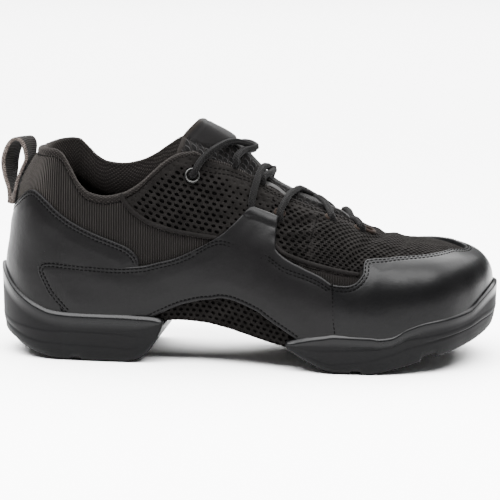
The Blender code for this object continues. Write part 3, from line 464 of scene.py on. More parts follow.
# Colour pairs that a fine noise mixes, the low one first
COLOURS = {
    "rubber": ((0.0015, 0.0015, 0.0016), (0.0022, 0.0022, 0.0024)),
    # Painted shade: the cloth's rib valleys darker than their crowns
    "rib_valley_shade": ((0.0004, 0.0004, 0.0004), (0.0009, 0.0008, 0.0008)),
    "rib_crown": ((0.0016, 0.0015, 0.0015), (0.0031, 0.0028, 0.0028)),
    # Padding under the net: a real layer, painted darker as the shade inside the net's holes
    "padding": ((0.0006, 0.0005, 0.0005), (0.0014, 0.0012, 0.0012)),
    "lining_ground": ((0.0012, 0.0010, 0.0010), (0.0026, 0.0022, 0.0021)),
    "lining_dot": ((0.0028, 0.0025, 0.0023), (0.0054, 0.0048, 0.0044)),
    "tongue_thread": ((0.0014, 0.0012, 0.0012), (0.0038, 0.0034, 0.0032)),
    # Painted shade inside the tongue's painted holes
    "tongue_hole_shade": ((0.0003, 0.0003, 0.0003), (0.0006, 0.0005, 0.0005)),
    "patch": ((0.0022, 0.0021, 0.0021), (0.0033, 0.0031, 0.0031)),
    "brim": ((0.0022, 0.0017, 0.0014), (0.0046, 0.0035, 0.0028)),
    # Painted shade between the lace's threads and in its middle groove
    "lace_valley_shade": ((0.0006, 0.0005, 0.0005), (0.0012, 0.0011, 0.0011)),
    "lace_crown": ((0.0011, 0.0010, 0.0010), (0.0021, 0.0019, 0.0019)),
    "lace_groove_shade": ((0.0002, 0.0002, 0.0002), (0.0005, 0.0004, 0.0004)),
    # Painted shade between the tape's woven rows
    "tape_valley_shade": ((0.0010, 0.0008, 0.0007), (0.0020, 0.0016, 0.0014)),
    "tape_crown": ((0.0040, 0.0031, 0.0028), (0.0075, 0.0059, 0.0053)),
    "tape_fray": ((0.045, 0.037, 0.033), (0.120, 0.100, 0.090)),
}


def nodes_of(name):
    made = bpy.data.materials.new(name)
    made.use_nodes = True
    tree = made.node_tree
    return made, tree, tree.nodes["Principled BSDF"]


def node(tree, kind, inputs=None, **facts):
    made = tree.nodes.new(kind)
    for key, value in facts.items():
        setattr(made, key, value)
    for key, value in (inputs or {}).items():
        if hasattr(value, "node"):
            tree.links.new(value, made.inputs[key])
        else:
            made.inputs[key].default_value = value
    return made


def maths(tree, operation, a, b=0.0, c=0.0):
    return node(tree, "ShaderNodeMath", {0: a, 1: b, 2: c}, operation=operation).outputs[0]


def times(tree, a, b):
    return maths(tree, "MULTIPLY", a, b)


def plus(tree, a, b):
    return maths(tree, "ADD", a, b)


def less(tree, a, b):
    return maths(tree, "SUBTRACT", a, b)


def turns(tree, value, pitch):
    """A value as an angle that goes round once in each pitch."""
    return times(tree, value, 2 * pi / pitch)


def attribute(tree, name):
    return node(tree, "ShaderNodeAttribute", attribute_name=name).outputs["Fac"]


def object_place(tree):
    return node(tree, "ShaderNodeTexCoord").outputs["Object"]


def noise(tree, scale, detail=3.0, rough=0.6):
    made = node(tree, "ShaderNodeTexNoise", {"Vector": object_place(tree), "Scale": scale, "Detail": detail,
                                             "Roughness": rough})
    return made.outputs["Fac"]


def blend(tree, factor, low, high):
    """A colour between two, by a factor."""
    made = node(tree, "ShaderNodeMix", {0: factor, 6: (*low, 1), 7: (*high, 1)}, data_type="RGBA")
    return made.outputs[2]


def tones(tree, factor, name):
    """One of the named colour pairs, mixed by a factor."""
    return blend(tree, factor, *COLOURS[name])


def layered(tree, factor, low, high):
    """A colour between two made ones, by a factor."""
    made = node(tree, "ShaderNodeMix", {0: factor, 6: low, 7: high}, data_type="RGBA")
    return made.outputs[2]


def window(tree, value, low, high):
    """0 below low, 1 above high."""
    made = node(tree, "ShaderNodeMapRange", {"Value": value, "From Min": low, "From Max": high},
                interpolation_type="SMOOTHSTEP")
    return made.outputs["Result"]


def bump(tree, height, depth, under=None):
    inputs = {"Height": height, "Distance": depth, "Strength": 1.0}
    if under is not None:
        inputs["Normal"] = under
    return node(tree, "ShaderNodeBump", inputs).outputs["Normal"]


def link(tree, output, surface, name):
    tree.links.new(output, surface.inputs[name])


def set_values(surface, **values):
    """Values that are the same all over a surface, on the shader's own sockets."""
    for name, value in values.items():
        surface.inputs[name.replace("_", " ")].default_value = value


def dull(surface, rough, sheen):
    """Cloth: rough, with a little sheen and a weak plain reflection."""
    set_values(surface, Roughness=rough, Specular_IOR_Level=CLOTH_SHINE)
    set_values(surface, Sheen_Weight=sheen, Sheen_Roughness=0.5)


def leather_material(name, dark, light, rough, shine=LEATHER_SHINE):
    """Smooth hide: fine grain, faint creases and a soft gloss, with a painted highlight that makes it paler
    along its rolled edges.
    """
    made, tree, surface = nodes_of(name)
    cells = node(tree, "ShaderNodeTexVoronoi", {"Vector": object_place(tree), "Scale": 1500.0})
    grain = cells.outputs["Distance"]
    fine = noise(tree, 900.0, 4.0)
    broad = noise(tree, 60.0, 3.0)
    edge = window(tree, attribute(tree, "edge"), 0.8, 0.1)
    tone = blend(tree, broad, dark, light)
    # Painted highlight: the colour turns paler close to each panel's edge
    edge_highlight = times(tree, edge, EDGE_HIGHLIGHT_SHARE)
    pale = tuple(EDGE_HIGHLIGHT_GAIN * v for v in light)
    link(tree, layered(tree, edge_highlight, tone, blend(tree, fine, light, pale)), surface, "Base Color")
    link(tree, plus(tree, rough - 0.06, times(tree, broad, 0.12)), surface, "Roughness")
    height = plus(tree, times(tree, grain, 0.5), times(tree, fine, 0.5))
    wide = bump(tree, broad, 0.00030)
    link(tree, bump(tree, height, 0.00004, wide), surface, "Normal")
    set_values(surface, Specular_IOR_Level=shine)
    return made


def rubber_material(name):
    """Satin rubber with a glossy rolled lip."""
    made, tree, surface = nodes_of(name)
    fine = noise(tree, 1400.0, 4.0)
    broad = noise(tree, 45.0, 3.0)
    lip = attribute(tree, "lip")
    base = tones(tree, broad, "rubber")
    link(tree, base, surface, "Base Color")
    rough = less(tree, plus(tree, 0.38, times(tree, broad, 0.08)),
                  times(tree, lip, 0.14))
    link(tree, rough, surface, "Roughness")
    link(tree, bump(tree, fine, 0.00003, bump(tree, broad, 0.00008)), surface, "Normal")
    wall = maths(tree, "MINIMUM", lip, 0.0)
    shine = maths(tree, "MULTIPLY_ADD", wall, RUBBER_SHINE, RUBBER_SHINE)
    raised = times(tree, maths(tree, "MAXIMUM", lip, 0.0), LIP_SHINE)
    link(tree, plus(tree, shine, raised), surface, "Specular IOR Level")
    return made


def cloth_material(name, dark, light, rough=0.9, fuzz=0.0001, sheen=0.05):
    """Plain cloth: small threads and fuzz."""
    made, tree, surface = nodes_of(name)
    fine = noise(tree, 1800.0, 6.0, 0.7)
    broad = noise(tree, 120.0, 3.0)
    mixed = times(tree, fine, broad)
    link(tree, blend(tree, window(tree, mixed, 0.12, 0.42), dark, light), surface, "Base Color")
    dull(surface, rough, sheen)
    set_values(surface, Sheen_Tint=(0.75, 0.68, 0.62, 1))
    link(tree, bump(tree, fine, fuzz, bump(tree, broad, 0.0002)), surface, "Normal")
    return made


def shell_material(name):
    """Upper cloth: fine upright ribs outside with painted shade in their valleys, padding under the net
    painted dark as the shade in its holes, dotted lining inside.
    """
    made, tree, surface = nodes_of(name)
    rib = maths(tree, "SINE", turns(tree, attribute(tree, "rib"), RIB_PITCH))
    ribbed = maths(tree, "MULTIPLY_ADD", rib, 0.5, 0.5)
    zone = attribute(tree, "zone")
    inside = attribute(tree, "inside")
    fine = noise(tree, 2000.0, 5.0, 0.7)
    across = maths(tree, "SINE", turns(tree, attribute(tree, "rib"), DOT_PITCH[0]))
    upward = maths(tree, "SINE", turns(tree, attribute(tree, "rise"), DOT_PITCH[1]))
    dots = window(tree, times(tree, across, upward), 0.15, 0.7)
    # Painted shade: darker in the rib valleys, the cloth's own colour on the crowns
    rib_shaded = tones(tree, fine, "rib_valley_shade")
    rib_high = tones(tree, fine, "rib_crown")
    rib_colour = layered(tree, window(tree, ribbed, 0.30, 0.95), rib_shaded, rib_high)
    # Padding under the net, its dark colour partly painted shade for the holes above it
    under = tones(tree, fine, "padding")
    lining = layered(tree, dots, tones(tree, fine, "lining_ground"),
                     tones(tree, fine, "lining_dot"))
    outside = layered(tree, zone, rib_colour, under)
    link(tree, layered(tree, inside, outside, lining), surface, "Base Color")
    dull(surface, 0.88, 0.05)
    set_values(surface, Sheen_Tint=(0.8, 0.72, 0.66, 1))
    plain = maths(tree, "MAXIMUM", zone, inside)
    ribs_only = times(tree, ribbed, less(tree, 1.0, plain))
    relief = plus(tree, ribs_only, times(tree, times(tree, dots, inside), 0.8))
    link(tree, bump(tree, fine, 0.00008, bump(tree, relief, 0.00060)), surface, "Normal")
    return made


def tongue_material(name):
    """Tongue cloth: holes in rows painted dark as the shade inside them, a smoother bare patch at its end and
    brown edges.
    """
    made, tree, surface = nodes_of(name)
    along = turns(tree, attribute(tree, "along"), TONGUE_PITCH[0])
    across = turns(tree, attribute(tree, "across"), TONGUE_PITCH[1])
    waves = times(tree, maths(tree, "COSINE", along), maths(tree, "COSINE", across))
    holes = window(tree, maths(tree, "ABSOLUTE", waves), 0.30, 0.52)
    patch = attribute(tree, "patch")
    edge = attribute(tree, "brim")
    fine = noise(tree, 1800.0, 5.0, 0.7)
    open_net = times(tree, holes, less(tree, 1.0, maths(tree, "MAXIMUM", patch, edge)))
    # Painted shade: the holes darker than the threads around them
    net = layered(tree, open_net, tones(tree, fine, "tongue_thread"),
                  tones(tree, fine, "tongue_hole_shade"))
    bare = layered(tree, patch, net, tones(tree, fine, "patch"))
    link(tree, layered(tree, edge, bare, tones(tree, fine, "brim")),
         surface, "Base Color")
    dull(surface, 0.85, 0.05)
    sunk = less(tree, 1.0, open_net)
    link(tree, bump(tree, fine, 0.00008, bump(tree, sunk, 0.0005)), surface, "Normal")
    return made


def lace_material(name):
    """Round braided cord: two ribs beside a middle groove painted dark as shade, with small slanting threads
    that have painted shade between them.
    """
    made, tree, surface = nodes_of(name)
    turn, run = attribute(tree, "turn"), attribute(tree, "run")
    slant = plus(tree, turns(tree, run, BRAID_PITCH), times(tree, turn, BRAID_TURNS))
    other = less(tree, turns(tree, run, BRAID_PITCH), times(tree, turn, BRAID_TURNS))
    braid = maths(tree, "MAXIMUM", maths(tree, "SINE", slant), maths(tree, "SINE", other))
    threads = window(tree, braid, -0.3, 1.0)
    groove = attribute(tree, "groove")
    fine = noise(tree, 2500.0, 4.0)
    # Painted shade: darker between the slanting threads and in the middle groove
    pale = layered(tree, threads, tones(tree, fine, "lace_valley_shade"),
                   tones(tree, fine, "lace_crown"))
    link(tree, layered(tree, groove, pale, tones(tree, fine, "lace_groove_shade")),
         surface, "Base Color")
    dull(surface, 0.75, 0.02)
    link(tree, bump(tree, threads, 0.00025), surface, "Normal")
    return made


def webbing_material(name):
    """Woven tape: herring rows across its width with painted shade between them, and pale frayed edges."""
    made, tree, surface = nodes_of(name)
    run, width = attribute(tree, "run"), attribute(tree, "width")
    rows = maths(tree, "SINE", plus(tree, turns(tree, run, TAPE_PITCH),
                                     times(tree, maths(tree, "PINGPONG", width, 0.5), 9.0)))
    fine = noise(tree, 2200.0, 5.0, 0.7)
    edge = window(tree, maths(tree, "ABSOLUTE", less(tree, width, 0.5)), 0.40, 0.50)
    frayed = times(tree, edge, window(tree, fine, 0.35, 0.65))
    # Painted shade: darker in the valleys between the woven rows
    low = tones(tree, fine, "tape_valley_shade")
    high = tones(tree, fine, "tape_crown")
    weave = layered(tree, window(tree, rows, -0.6, 0.9), low, high)
    link(tree, layered(tree, frayed, weave, tones(tree, fine, "tape_fray")),
         surface, "Base Color")
    dull(surface, 0.8, 0.05)
    link(tree, bump(tree, rows, 0.00016, bump(tree, fine, 0.0001)), surface, "Normal")
    return made


def plain_material(name, colour, rough, metallic=0.0, grain=0.00003):
    made, tree, surface = nodes_of(name)
    fine = noise(tree, 1500.0, 3.0)
    link(tree, blend(tree, fine, tuple(0.85 * v for v in colour), tuple(min(1, 1.15 * v) for v in colour)),
         surface, "Base Color")
    shine = BARE_SHINE if metallic else CLOTH_SHINE
    set_values(surface, Roughness=rough, Metallic=metallic, Specular_IOR_Level=shine)
    link(tree, bump(tree, fine, grain), surface, "Normal")
    return made


HIDE = leather_material("hide", (0.0019, 0.0018, 0.0019), (0.0027, 0.0026, 0.0027), 0.38)
CAP_HIDE = leather_material("cap_hide", (0.0012, 0.0012, 0.0013), (0.0018, 0.0018, 0.0019), 0.33, 0.065)
RUBBER = rubber_material("rubber")
SHELL = shell_material("upper_cloth")
NET = cloth_material("net_cloth", (0.0017, 0.0015, 0.0014), (0.0041, 0.0037, 0.0035), 0.9, 0.00010, 0.016)
ROLL = cloth_material("rolled_edge", (0.0018, 0.0016, 0.0015), (0.0036, 0.0032, 0.0031), 0.8, 0.00006, 0.016)
TONGUE_CLOTH = tongue_material("tongue_cloth")
CORD = lace_material("lace_cord")
TAPE = webbing_material("webbing")
THREAD = plain_material("thread", (0.0002, 0.0002, 0.0002), 0.9)
DARK_THREAD = plain_material("dark_thread", (0.0002, 0.0002, 0.0002), 0.9)
METAL = plain_material("eyelet_metal", (0.040, 0.040, 0.039), 0.42, 1.0, 0.00001)
BED = cloth_material("insole_cloth", (0.0016, 0.0014, 0.0014), (0.0040, 0.0036, 0.0034))
KEEPER = leather_material("keeper_hide", (0.0095, 0.0092, 0.0090), (0.0140, 0.0136, 0.0132), 0.5)
BROWN = cloth_material("brown_edge", (0.0035, 0.0022, 0.0017), (0.0085, 0.0056, 0.0043))


# The upper's zones, in side view: the open net lies above these heights
NET_LOW = (
    (60, 300), (68, 96), (68.6, 84.4), (69.6, 82.4), (72, 79.5), (75, 76.5), (80.2, 73.1), (85.3, 70.7),
    (90.3, 69.3), (96.4, 67.7), (103, 66.6), (109.6, 65.2), (116.8, 64.6), (122.2, 67.5), (127.3, 71.6),
    (132.2, 76.5), (141, 74), (146.0, 64), (149.3, 57.6), (153.9, 55.3), (159, 53.6), (166.6, 51.7),
    (174.2, 50.3), (181.6, 49.0), (187, 49.2), (190.5, 52.6), (199.4, 53.2), (211.5, 53.6),
    (231.7, 54.2), (246, 53.0), (258, 52.5),
)

# Soft troughs: depth and half width in parts, then the points of the crease
CREASES = (
    (0.9, 2.6, ((186.1, -35.1, 54.7), (189, -27.5, 59.5), (193.2, -15.6, 62.6), (196.7, -5.9, 63.1),
                (199, 6, 62.8), (198, 20, 60.5), (195, 31, 56))),
    (0.5, 2.2, ((200, -36, 52), (204, -27, 58.0), (208, -12, 61), (210, 2, 61.3), (209, 18, 60))),
    (1.0, 2.6, ((148, -30, 72), (155, -27, 71.5), (162, -22, 72), (168, -17, 71.5))),
    (0.7, 2.2, ((147, -33, 66), (156, -32, 64.5), (165, -29.5, 64.5), (173, -26, 63))),
    (0.9, 2.4, ((98, -25, 96), (104, -25.5, 90), (111, -26.5, 84.5), (119, -27, 81))),
    (0.7, 2.2, ((86, -25, 94), (92, -26, 88.5), (99, -27, 83), (107, -28, 79.5))),
    (0.6, 2.2, ((122, -24, 89), (126, -24.5, 85.5), (131, -24, 84), (138, -21.5, 83.5))),
    (0.8, 2.6, ((150, 24, 72), (158, 22, 73), (166, 17, 72))),
    (0.7, 2.4, ((98, 22, 96), (106, 22, 89), (114, 23, 84))),
)


WAVE_COUNT = 7
CLOTH_SEED = 3
LEATHER_SEED = 9
TONGUE_SEED = 5
FAR = 99.0


def distance_to(points, line, reach=12.0):
    """Distance from each point to a line, up to a reach beyond which it doesn't matter."""
    flat = points.reshape(-1, 3)
    best = np.full(len(flat), FAR)
    close = np.all((flat > line.min(axis=0) - reach) & (flat < line.max(axis=0) + reach), axis=1)
    near = flat[close]
    found = np.full(len(near), FAR)
    for k in range(0, len(line) - 1, 12):
        piece = line[k:k + 13]
        inside = np.all((near > piece.min(axis=0) - reach) & (near < piece.max(axis=0) + reach), axis=1)
        local = near[inside]
        least = found[inside]
        for p, q in zip(piece[:-1], piece[1:]):
            d = q - p
            u = np.clip(((local - p) @ d) / max(float(d @ d), 1e-9), 0, 1)
            least = np.minimum(least, np.linalg.norm(local - p - u[:, None] * d, axis=1))
        found[inside] = least
    best[close] = found
    return best.reshape(points.shape[:-1])


def creased(points):
    """Height of the cloth's soft troughs and ridges at points of the outer face."""
    height = np.zeros(points.shape[:-1])
    for depth, half, line in CREASES:
        away = distance_to(points, catmull(line, 4)) / half
        height += depth * (0.45 * np.exp(-(away - 1.9) ** 2 / 0.8) - np.exp(-away ** 2))
    return height


def waves(points, scale, seed):
    """Gentle uneven heights over points, between -1 and 1."""
    rng = np.random.default_rng(seed)
    total = np.zeros(points.shape[:-1])
    for _ in range(WAVE_COUNT):
        way = unit(rng.normal(size=3)) * rng.uniform(0.6, 1.5) * 2 * pi / scale
        total += np.sin(points @ way + rng.uniform(0, 2 * pi))
    return total / 4


def soft(s, phi):
    """How far the cloth stands off the last at a place: creases and a slight unevenness."""
    p = raw(s, phi)
    low = step_between(30, 46, p[..., 2])
    return low * (creased(p) + 0.22 * waves(p, 17.0, CLOTH_SEED))


def cloth_face(s, phi, out):
    return face(s, phi, out + soft(s, phi))


# Upper: closed cloth from the feather line over the padded collar to the inside
WALL = 2.2
NET_SUNK = 1.0
COLLAR_PAD = 3.4
COLLAR_SWELL = 1.2
COLLAR_FADE = (100, 112)
COLLAR_SEAM = 2.7
PAD_SHARE = 0.36
SWELL_FROM = 0.7
SHELL_STATIONS = 460
SHELL_LOW = 12
SHELL_HIGH = 52
SHELL_RIM = 8
SHELL_INSIDE = 34
SHELL_UNDER = 8
ARCH_SPAN = (84, 160)


def smooth_drop(below):
    """The rolled collar edge and the trough of its seam, by the distance below the edge."""
    return 0.5 * np.exp(-(below / 1.6) ** 2) - 0.7 * np.exp(-((below - COLLAR_SEAM) / 0.75) ** 2)


def arch_zone(p, place):
    """1 on the cloth inside the band's arch window, 0 elsewhere."""
    inside = (place > ARCH_SPAN[0]) * (place < ARCH_SPAN[1])
    return step_between(0, 1.5, smooth(ARCH_LINE, p[:, 0]) - p[:, 2]) * inside


class ShellRows:
    """Rows of angle, stand-off, net zone and lining mark that run round the whole upper."""

    def __init__(self):
        self.s = ROUND * np.arange(SHELL_STATIONS) / SHELL_STATIONS
        self.edge = phi_edge(self.s)
        at = station(self.s)
        self.place = at.x
        self.toe = at.spine_x >= THROAT_FOOT
        self.at_collar = 1 - step_between(*COLLAR_FADE, at.spine_x)
        self.rows = []

    def add(self, *values):
        self.rows.append([np.broadcast_to(value, self.s.shape) for value in values])

    def stacked(self):
        return [np.array(values, float) for values in zip(*self.rows)]

    def outside(self):
        for phi in np.linspace(-pi / 2, 0, SHELL_LOW, endpoint=False):
            under = arch_zone(raw(self.s, phi), self.place)
            self.add(phi, -NET_SUNK * under, under, 0)
        edge_height = raw(self.s, self.edge)[:, 2]
        for u in np.linspace(0, 1, SHELL_HIGH):
            p = raw(self.s, self.edge * u)
            zone = step_between(-0.6, 0.6, p[:, 2] - smooth(NET_LOW, p[:, 0]))
            zone = zone * (1 - np.where(self.toe, 0, step_between(0.93, 0.985, u)))
            zone = np.maximum(zone, arch_zone(p, self.place))
            below = edge_height - p[:, 2]
            lining = self.at_collar * (1 - step_between(1.9, 2.5, below))
            self.add(self.edge * u, self.at_collar * smooth_drop(below) - NET_SUNK * zone, zone, lining)

    def rim(self):
        slope = np.linalg.norm(raw(self.s, self.edge + 0.01) - raw(self.s, self.edge - 0.01), axis=-1) / 0.02
        half = np.where(self.toe, WALL, WALL + COLLAR_SWELL * self.at_collar) / 2
        for k in range(1, SHELL_RIM):
            turn = pi * k / SHELL_RIM
            rise = np.where(self.toe, 0, 0.9 * half * sin(turn))
            lining = np.maximum(self.at_collar, float(turn >= 0.5 * pi))
            self.add(self.edge + rise / np.maximum(slope, 20), half * cos(turn) - half, 0, lining)

    def inside(self):
        for u in np.linspace(1, 0, SHELL_INSIDE):
            pad = COLLAR_PAD * np.sin(pi * np.clip((1 - u) / PAD_SHARE, 0, 1))
            swell = COLLAR_SWELL * (u > SWELL_FROM)
            self.add(self.edge * u, -WALL - self.at_collar * (swell + pad), 0, 1)
        for phi in np.linspace(-0.2, -pi / 2, SHELL_UNDER):
            self.add(phi, -WALL, 0, 1)


def upper_cloth():
    rows = ShellRows()
    rows.outside()
    rows.rim()
    rows.inside()
    phi, out, zone, inside = rows.stacked()
    points = cloth_face(np.broadcast_to(rows.s, phi.shape), phi, out)
    count = len(phi)
    faces = grid_faces(count, SHELL_STATIONS, wrap=True).tolist()
    last_row = (count - 1) * SHELL_STATIONS
    for k in range(SHELL_STATIONS):
        after = (k + 1) % SHELL_STATIONS
        faces.append([last_row + k, last_row + after, after, k])
    girth = run_along(raw(np.append(rows.s, ROUND), 0.3))[:-1]
    marks = dict(zone=zone, inside=inside, rib=np.broadcast_to(girth, phi.shape), rise=run_along(points))
    return make("upper_shell", points, faces, SHELL, "upper_mesh", marks, stands_for=("upper",))


FLOOR_SPAN = (78, 162)
FLOOR_GRID = (36, 60)


def arch_floor():
    """Cloth under the arch between the two cups."""
    rows, columns = FLOOR_GRID
    xs = np.linspace(*FLOOR_SPAN, columns)
    outer, inner = (raw(side_station(xs, side), -pi / 2) for side in (-1, 1))
    share = np.linspace(0, 1, rows)[:, None, None]
    points = outer[None] * (1 - share) + inner[None] * share
    none = np.zeros(points.shape[:2])
    marks = dict(zone=none, inside=none, rib=np.broadcast_to(xs, points.shape[:2]), rise=none)
    return make("arch_floor", points, grid_faces(rows, columns).tolist(), SHELL, "upper_mesh", marks)


# Net: staggered cells with open holes. Rings of a cell: size against its hole, and level
PERIMETER = (
    (-1, -1), (-0.5, -1), (0, -1), (0.5, -1), (1, -1), (1, 0), (1, 1), (0.5, 1), (0, 1), (-0.5, 1),
    (-1, 1), (-1, 0),
)
HOLE_TURNS = (-140, -115, -90, -65, -40, 0, 40, 65, 90, 115, 140, 180)
NET_RISE = 0.25
CELL_RINGS = ((None, NET_RISE - 0.10), (1.22, NET_RISE + 0.02), (1.02, NET_RISE - 0.14), (0.94, -0.75))
HOLE_LARGEST = 0.93
HOLE_CLOSED = 0.30
HOLE_SMALLEST = 0.16


def net_sheet(name, at, cells):
    """Cells given as middle, half sizes and hole size; at gives points of the cloth."""
    cells = np.asarray(cells, float)
    a, b, half_a, half_b, hole = (cells[:, k][:, None] for k in range(5))
    rim = np.array(PERIMETER, float)
    turn = np.radians(HOLE_TURNS)
    count = len(PERIMETER)
    rings = []
    for scale, out in CELL_RINGS:
        if scale is None:
            ra, rb = a + half_a * rim[:, 0], b + half_b * rim[:, 1]
        else:
            size = np.minimum(scale * hole, HOLE_LARGEST)
            ra, rb = a + half_a * size * np.cos(turn), b + half_b * size * np.sin(turn)
        level = np.where((hole < HOLE_CLOSED) & (out < 0), 0.02, out)
        rings.append(at(ra, rb, np.broadcast_to(level, ra.shape)))
    points = np.stack(rings, axis=1)
    base = np.arange(len(cells)) * len(CELL_RINGS) * count
    quads = grid_faces(len(CELL_RINGS), count, wrap=True)
    faces = []
    for ring in quads.reshape(-1, count, 4):
        faces += (base[:, None, None] + ring[None]).reshape(-1, 4).tolist()
    for start in base[(cells[:, 4] < HOLE_CLOSED)]:
        faces.append([int(start) + 3 * count + j for j in range(count)])
    return make(name, points.reshape(-1, 3), faces, NET, "upper_mesh")


LOOKUP_STEP = 0.5


class Lookup:
    """A value kept on a regular grid of two coordinates and read between its points."""

    def __init__(self, first_a, first_b, values):
        self.first_a, self.first_b = first_a, first_b
        self.values = np.asarray(values, float)

    def __call__(self, a, b):
        u = np.clip((a - self.first_a) / LOOKUP_STEP, 0, self.values.shape[0] - 1.001)
        v = np.clip((b - self.first_b) / LOOKUP_STEP, 0, self.values.shape[1] - 1.001)
        i, j = u.astype(int), v.astype(int)
        u, v = u - i, v - j
        t = self.values
        return ((t[i, j] * (1 - v) + t[i, j + 1] * v) * (1 - u)
                + (t[i + 1, j] * (1 - v) + t[i + 1, j + 1] * v) * u)


def turns_by_run(side, span, turns, lengths, base=None):
    """The angle at each distance up the cloth from a base line, for each place along the shoe."""
    xs = np.arange(*span, LOOKUP_STEP)
    table = []
    for x in xs:
        line = raw(side_station(x, side), turns)
        run = run_along(line)
        start = np.interp(smooth(base, x), line[:, 2], run) if base else 0
        table.append(np.interp(lengths + start, run, turns))
    return Lookup(xs[0], lengths[0], table)


QUARTER_BASE = ((66, 79.0), (90, 70.0), (112, 64.6), (140, 60.0))
QUARTER_SPAN = (62, 146)
QUARTER_STEP = (3.75, 2.75)
QUARTER_HOLE = 0.71
QUARTER_SEED = {-1: 11, 1: 12}
VAMP_STEP = ((120, 4.3, 2.5), (150, 4.2, 2.45), (185, 3.3, 2.0), (215, 2.9, 1.85), (260, 2.7, 1.8))
VAMP_SEED = 21
HOLE_SHARE = 0.70


def quarter_net(side):
    lengths = np.arange(-6, 60, LOOKUP_STEP)
    phi_of = turns_by_run(side, QUARTER_SPAN, np.linspace(0.05, pi / 2, 120), lengths, QUARTER_BASE)

    def at(a, b, out):
        a = np.clip(a, 67.5, 144)
        s = side_station(a, side)
        low = phi_at(s, smooth(NET_LOW, a) - 0.3)
        phi = np.clip(phi_of(a, b), low, phi_edge(s) - 0.02)
        return cloth_face(s, phi, out)

    cells = []
    rng = np.random.default_rng(QUARTER_SEED[side])
    step_a, step_b = QUARTER_STEP
    for j in range(-2, 22):
        for i in range(28):
            a = 66 + (i + 0.5 * (j % 2)) * step_a
            b = (j + 0.5) * step_b
            if a > 144:
                continue
            s = side_station(a, side)
            phi = float(phi_of(np.array(a), np.array(b)))
            low = float(phi_at(s, smooth(NET_LOW, a) - 0.3))
            edge = float(phi_edge(s))
            if phi < low - 0.06 or phi > edge + 0.03:
                continue
            z = float(raw(s, phi)[2])
            edge_z = float(raw(s, edge)[2])
            open_share = step_between(4.0, 8.5, edge_z - z) * (1 - 0.45 * step_between(112, 128, a))
            hole = QUARTER_HOLE * open_share * rng.uniform(0.88, 1.06)
            if z < smooth(NET_LOW, a) + 1.4:
                hole = 0.0
            cells.append((a, b, step_a / 2, step_b / 2, max(HOLE_SMALLEST, hole)))
    return net_sheet("net_quarter_" + side_name(side), at, cells)


ARCH_LINE = (
    (84, 24.4), (89.4, 27.6), (97.5, 31.2), (103.7, 33.0), (114.7, 34.9), (124.2, 35.3), (129.4, 33.8),
    (137.2, 30.6), (145.5, 25.1), (153.9, 20.2), (160, 15.5),
)
ARCH_NET_SPAN = (80, 164)
ARCH_STEP = (3.3, 2.7)
ARCH_HOLE = 0.66
ARCH_SEED = 31


def arch_net(side):
    """Open net between the band's arch window and the feather line."""
    phi_of = turns_by_run(side, ARCH_NET_SPAN, np.linspace(-pi / 2, 0.4, 100), np.arange(0, 40, LOOKUP_STEP))

    def at(a, b, out):
        a = np.clip(a, 81, 162)
        return face(side_station(a, side), phi_of(a, np.maximum(b, 0)), out)

    cells = []
    rng = np.random.default_rng(ARCH_SEED)
    step_a, step_b = ARCH_STEP
    for j in range(14):
        for i in range(26):
            a = 82 + (i + 0.5 * (j % 2)) * step_a
            b = (j + 0.5) * step_b
            z = float(raw(side_station(a, side), float(phi_of(np.array(a), np.array(b))))[2])
            if a < 161 and z < smooth(ARCH_LINE, a) + 2.0:
                cells.append((a, b, step_a / 2, step_b / 2, ARCH_HOLE * rng.uniform(0.9, 1.05)))
    return net_sheet("net_arch_" + side_name(side), at, cells)


def half_width(x, side):
    """Widest reach of the upper from its middle line at x, on the toe from its round outline."""
    x = np.asarray(x, float)
    on_side = station(side_station(np.clip(x, 40, TOE_PIVOT), side)).radius
    low, high = np.zeros(x.shape), np.full(x.shape, 90.0)
    for _ in range(20):
        mid = (low + high) / 2
        reach = np.cos(np.radians(mid)) * smooth(TOE, side * mid)
        beyond = reach > x - TOE_PIVOT
        low = np.where(beyond, mid, low)
        high = np.where(beyond, high, mid)
    round_toe = np.sin(np.radians(low)) * smooth(TOE, side * low)
    return np.where(x <= TOE_PIVOT, on_side, round_toe)


VAMP_END = 249.5


